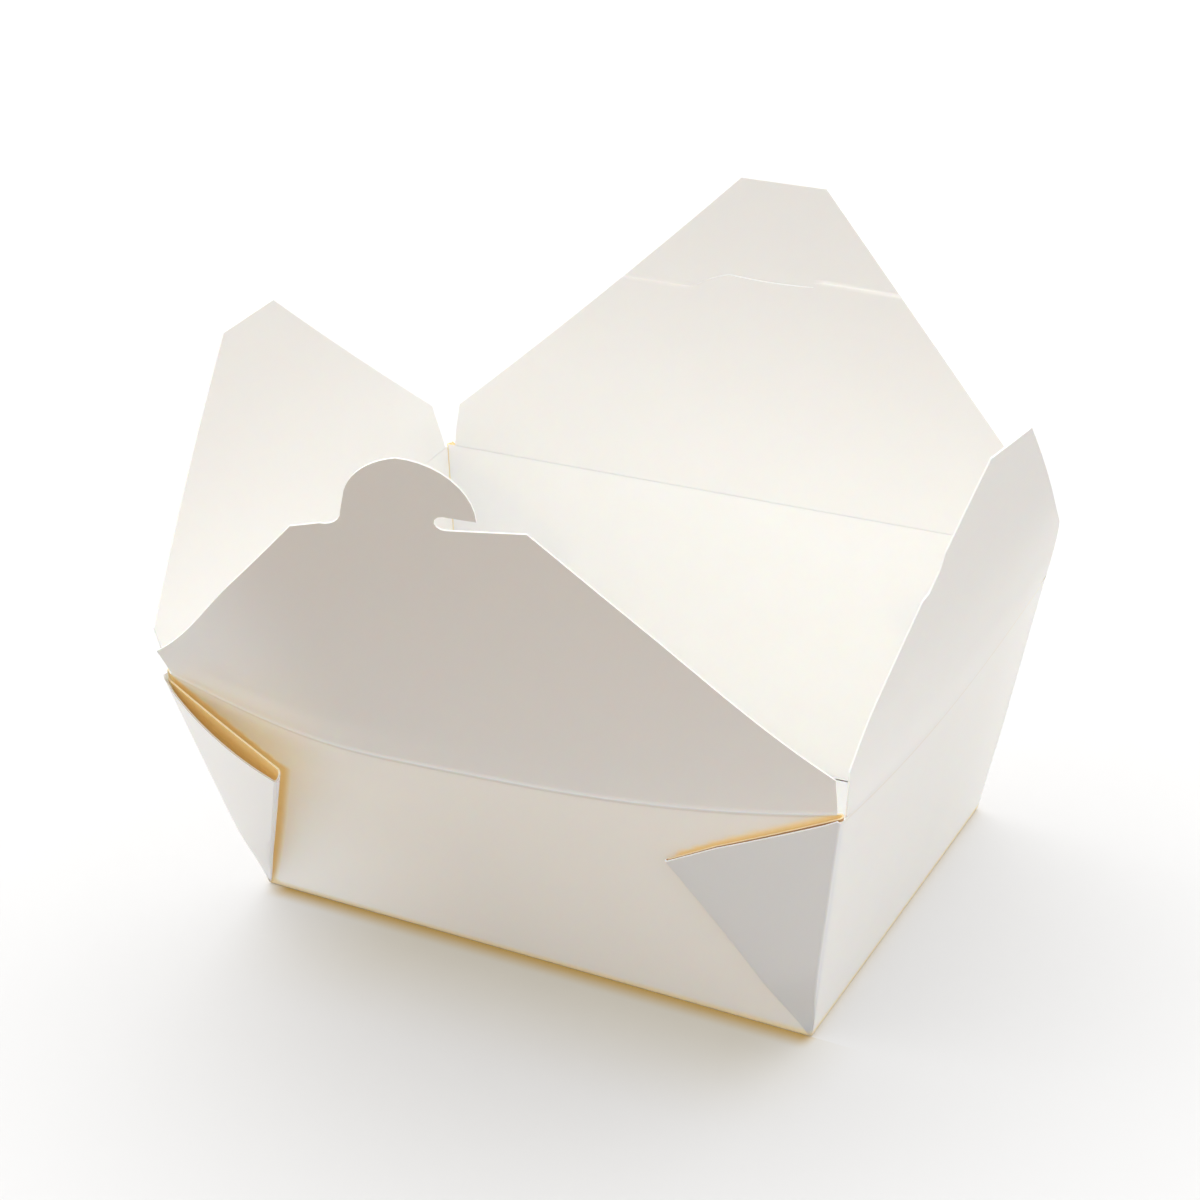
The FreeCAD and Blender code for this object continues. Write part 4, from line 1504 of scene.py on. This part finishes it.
class TAKEAWAY_OT_tray(bpy.types.Operator):
    """Fold the tray: base, four walls and the four corner webs, from one sheet"""

    bl_idname = "takeaway.tray"
    bl_label = "Fold the tray"

    def execute(self, context):
        sizes = of_scene(context)
        piece = fold_tray(sizes, board_materials(sizes.finish))
        check_piece(piece)
        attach(piece, "carton_body")
        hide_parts("carton_body")
        return {"FINISHED"}


class TAKEAWAY_OT_front_flap(bpy.types.Operator):
    """Cut and bend the front flap with its hook"""

    bl_idname = "takeaway.front_flap"
    bl_label = "Make the front flap"

    def execute(self, context):
        sizes = of_scene(context)
        hang_flap(make_front_flap(sizes, board_materials(sizes.finish)), "front_flap")
        return {"FINISHED"}


class TAKEAWAY_OT_back_flap(bpy.types.Operator):
    """Cut the back flap with the slit and the scores of the lock"""

    bl_idname = "takeaway.back_flap"
    bl_label = "Make the back flap"

    def execute(self, context):
        sizes = of_scene(context)
        hang_flap(make_back_flap(sizes, board_materials(sizes.finish)), "back_flap")
        return {"FINISHED"}


class TAKEAWAY_OT_side_flaps(bpy.types.Operator):
    """Cut and bend the left and right flaps"""

    bl_idname = "takeaway.side_flaps"
    bl_label = "Make the side flaps"

    def execute(self, context):
        sizes = of_scene(context)
        materials = board_materials(sizes.finish)
        hang_flap(make_left_flap(sizes, materials), "left_flap")
        hang_flap(make_right_flap(sizes, materials), "right_flap")
        return {"FINISHED"}


def aim(thing, place, target):
    thing.location = place
    thing.rotation_euler = (Vector(target) - Vector(place)).to_track_quat("-Z", "Y").to_euler()


def add_camera(stage, target):
    clear_selection()
    bpy.ops.object.camera_add()
    camera = bpy.context.object
    camera.name = "photo_camera"
    back = Vector(
        (
            math.sin(stage.azimuth) * math.cos(stage.elevation),
            -math.cos(stage.azimuth) * math.cos(stage.elevation),
            math.sin(stage.elevation),
        )
    )
    right = (-back).cross(Vector((0, 0, 1))).normalized()
    up = right.cross(-back)
    turned_right = right * math.cos(stage.roll) + up * math.sin(stage.roll)
    turned_up = up * math.cos(stage.roll) - right * math.sin(stage.roll)
    turn = Matrix((turned_right, turned_up, back)).transposed()
    camera.matrix_world = Matrix.Translation(Vector(target) + back * stage.camera_distance) @ turn.to_4x4()
    camera.data.lens = stage.focal_length
    camera.data.sensor_width = 36.0
    camera.data.clip_start = 0.05
    camera.data.clip_end = 20.0
    bpy.context.scene.camera = camera


def add_lamp(name, place, target, size, power):
    clear_selection()
    bpy.ops.object.light_add(type="AREA")
    lamp = bpy.context.object
    lamp.name = name
    lamp.data.shape = "SQUARE"
    lamp.data.size = size
    lamp.data.energy = power
    aim(lamp, place, target)
    return lamp


def foot_shadow_and_glow_mask(tree, place, wall, width):
    """A mask that is one at the foot of a wall and fades over a width in front of it."""
    start = wall.corner(wall.start, wall.tray.board)
    end = wall.corner(wall.end, wall.tray.board)
    along = (end - start).normalized()
    out = Vector((along.y, -along.x, 0.0))
    tail = width / 3
    masks = []
    for way, origin, near, far in (
        (out, start, width, 0.0),
        (-out, start, HARD_EDGE, 0.0),
        (-along, start, 0.0, -width),
        (along, end, tail, -tail),
    ):
        spot = tree.nodes.new("ShaderNodeVectorMath")
        spot.operation = "SUBTRACT"
        tree.links.new(place, spot.inputs[0])
        spot.inputs[1].default_value = (origin.x, origin.y, 0.0)
        past = tree.nodes.new("ShaderNodeVectorMath")
        past.operation = "DOT_PRODUCT"
        tree.links.new(spot.outputs[0], past.inputs[0])
        past.inputs[1].default_value = (way.x, way.y, 0.0)
        fade = tree.nodes.new("ShaderNodeMapRange")
        fade.interpolation_type = "SMOOTHSTEP"
        fade.inputs["From Min"].default_value = near
        fade.inputs["From Max"].default_value = far
        tree.links.new(past.outputs["Value"], fade.inputs["Value"])
        masks.append(fade.outputs[0])
    mask = masks[0]
    for other in masks[1:]:
        mask = math_node(tree, "MULTIPLY", mask, other)
    return mask


def floor_material(stage, front_wall):
    """A pale floor that keeps its shadow, with a painted warm shadow in front of the front wall and painted
    warm light and shadow at its foot.
    """
    material = bpy.data.materials.new("studio_floor")
    material.use_nodes = True
    tree = material.node_tree
    shader = tree.nodes["Principled BSDF"]
    place = tree.nodes.new("ShaderNodeTexCoord")
    tone = tree.nodes.new("ShaderNodeTexNoise")
    tone.inputs["Scale"].default_value = 3.0
    tree.links.new(place.outputs["Object"], tone.inputs["Vector"])
    floor = tuple(stage.floor)
    darker = tuple(value * FLOOR_CLOUDS for value in floor)
    path = tree.nodes.new("ShaderNodeLightPath")
    seen = mix_colours(tree, tone.outputs[0], floor, darker)
    # Paint a warm shadow in front of the front wall, and warm light and shadow at its foot.
    for colour_there, width in (
        (stage.front_floor_shadow, stage.front_floor_shadow_width),
        (stage.floor_foot_glow_and_shadow, stage.floor_foot_glow_and_shadow_width),
    ):
        glow = foot_shadow_and_glow_mask(tree, place.outputs["Object"], front_wall, width)
        seen = mix_colours(tree, glow, seen, tuple(colour_there))
    both = mix_colours(tree, path.outputs["Is Camera Ray"], tuple(stage.floor_bounce), seen)
    tree.links.new(both, shader.inputs["Base Color"])
    shader.inputs["Roughness"].default_value = 0.9
    shader.inputs["Specular IOR Level"].default_value = 0.1
    return material


def set_sky(stage):
    """Even light from all around, which the camera sees as white."""
    world = bpy.data.worlds.new("studio_sky")
    bpy.context.scene.world = world
    world.use_nodes = True
    tree = world.node_tree
    plain = tree.nodes["Background"]
    plain.inputs["Color"].default_value = (1.0, 0.995, 0.99, 1.0)
    way = tree.nodes.new("ShaderNodeSeparateXYZ")
    tree.links.new(tree.nodes.new("ShaderNodeTexCoord").outputs["Generated"], way.inputs[0])
    x, y, z = way.outputs
    total = None
    for part, facing, strength in (
        (z, 1.0, stage.sky_top),
        (x, 1.0, stage.sky_right),
        (x, -1.0, stage.sky_left),
        (y, 1.0, stage.sky_back),
    ):
        share = math_node(tree, "MAXIMUM", math_node(tree, "MULTIPLY", part, facing), 0.0)
        light = math_node(tree, "MULTIPLY", share, strength)
        total = math_node(tree, "ADD", light, stage.sky_even if total is None else total)
    tree.links.new(total, plain.inputs["Strength"])
    white = tree.nodes.new("ShaderNodeBackground")
    white.inputs["Color"].default_value = (1.0, 1.0, 1.0, 1.0)
    white.inputs["Strength"].default_value = 1.0
    path = tree.nodes.new("ShaderNodeLightPath")
    mix = tree.nodes.new("ShaderNodeMixShader")
    tree.links.new(path.outputs["Is Camera Ray"], mix.inputs[0])
    tree.links.new(plain.outputs[0], mix.inputs[1])
    tree.links.new(white.outputs[0], mix.inputs[2])
    tree.links.new(mix.outputs[0], tree.nodes["World Output"].inputs["Surface"])


class TAKEAWAY_OT_stage(bpy.types.Operator):
    """Lay the pale floor, hang the lamps and set up the camera"""

    bl_idname = "takeaway.stage"
    bl_label = "Set the stage"

    def execute(self, context):
        sizes = of_scene(context)
        stage = sizes.stage
        clear_selection()
        bpy.ops.mesh.primitive_plane_add(size=stage.floor_size)
        floor = bpy.context.object
        floor.name = "studio_floor"
        floor.data.materials.append(floor_material(stage, walls_of(sizes.tray)["front"]))
        set_sky(stage)
        add_lamp("key_lamp", LAMP_PLACE, LAMP_TARGET, LAMP_SIZE, stage.key_power)
        add_camera(stage, LOOK_AT)
        context.scene.view_settings.view_transform = "Standard"
        return {"FINISHED"}


STEPS = (
    TAKEAWAY_OT_tray,
    TAKEAWAY_OT_front_flap,
    TAKEAWAY_OT_back_flap,
    TAKEAWAY_OT_side_flaps,
    TAKEAWAY_OT_stage,
)


class TakeawayBox(bpy.types.PropertyGroup):
    tray: PointerProperty(type=TraySizes)
    web: PointerProperty(type=WebSizes)
    front: PointerProperty(type=FrontFlapSizes)
    back: PointerProperty(type=BackFlapSizes)
    side: PointerProperty(type=SideFlapSizes)
    finish: PointerProperty(type=BoardFinish)
    stage: PointerProperty(type=StageSettings)


class TAKEAWAY_PT_panel(bpy.types.Panel):
    bl_label = "Takeaway box"
    bl_idname = "TAKEAWAY_PT_panel"
    bl_space_type = "VIEW_3D"
    bl_region_type = "UI"
    bl_category = "Takeaway box"

    def draw(self, context):
        sizes = of_scene(context)
        for step in STEPS:
            self.layout.operator(step.bl_idname)
        for part in (sizes.tray, sizes.web, sizes.front, sizes.back, sizes.side, sizes.finish, sizes.stage):
            box = self.layout.box()
            for name in part.__annotations__:
                box.prop(part, name)


CLASSES = (
    TraySizes,
    WebSizes,
    FrontFlapSizes,
    BackFlapSizes,
    SideFlapSizes,
    BoardFinish,
    StageSettings,
    TakeawayBox,
    *STEPS,
    TAKEAWAY_PT_panel,
)


def register():
    for item in CLASSES:
        bpy.utils.register_class(item)
    bpy.types.Scene.takeaway_box = PointerProperty(type=TakeawayBox)


def unregister():
    del bpy.types.Scene.takeaway_box
    for item in reversed(CLASSES):
        bpy.utils.unregister_class(item)


def main():
    register()
    bpy.ops.takeaway.tray()
    bpy.ops.takeaway.front_flap()
    bpy.ops.takeaway.back_flap()
    bpy.ops.takeaway.side_flaps()
    bpy.ops.takeaway.stage()


if __name__ == "__main__":
    main()
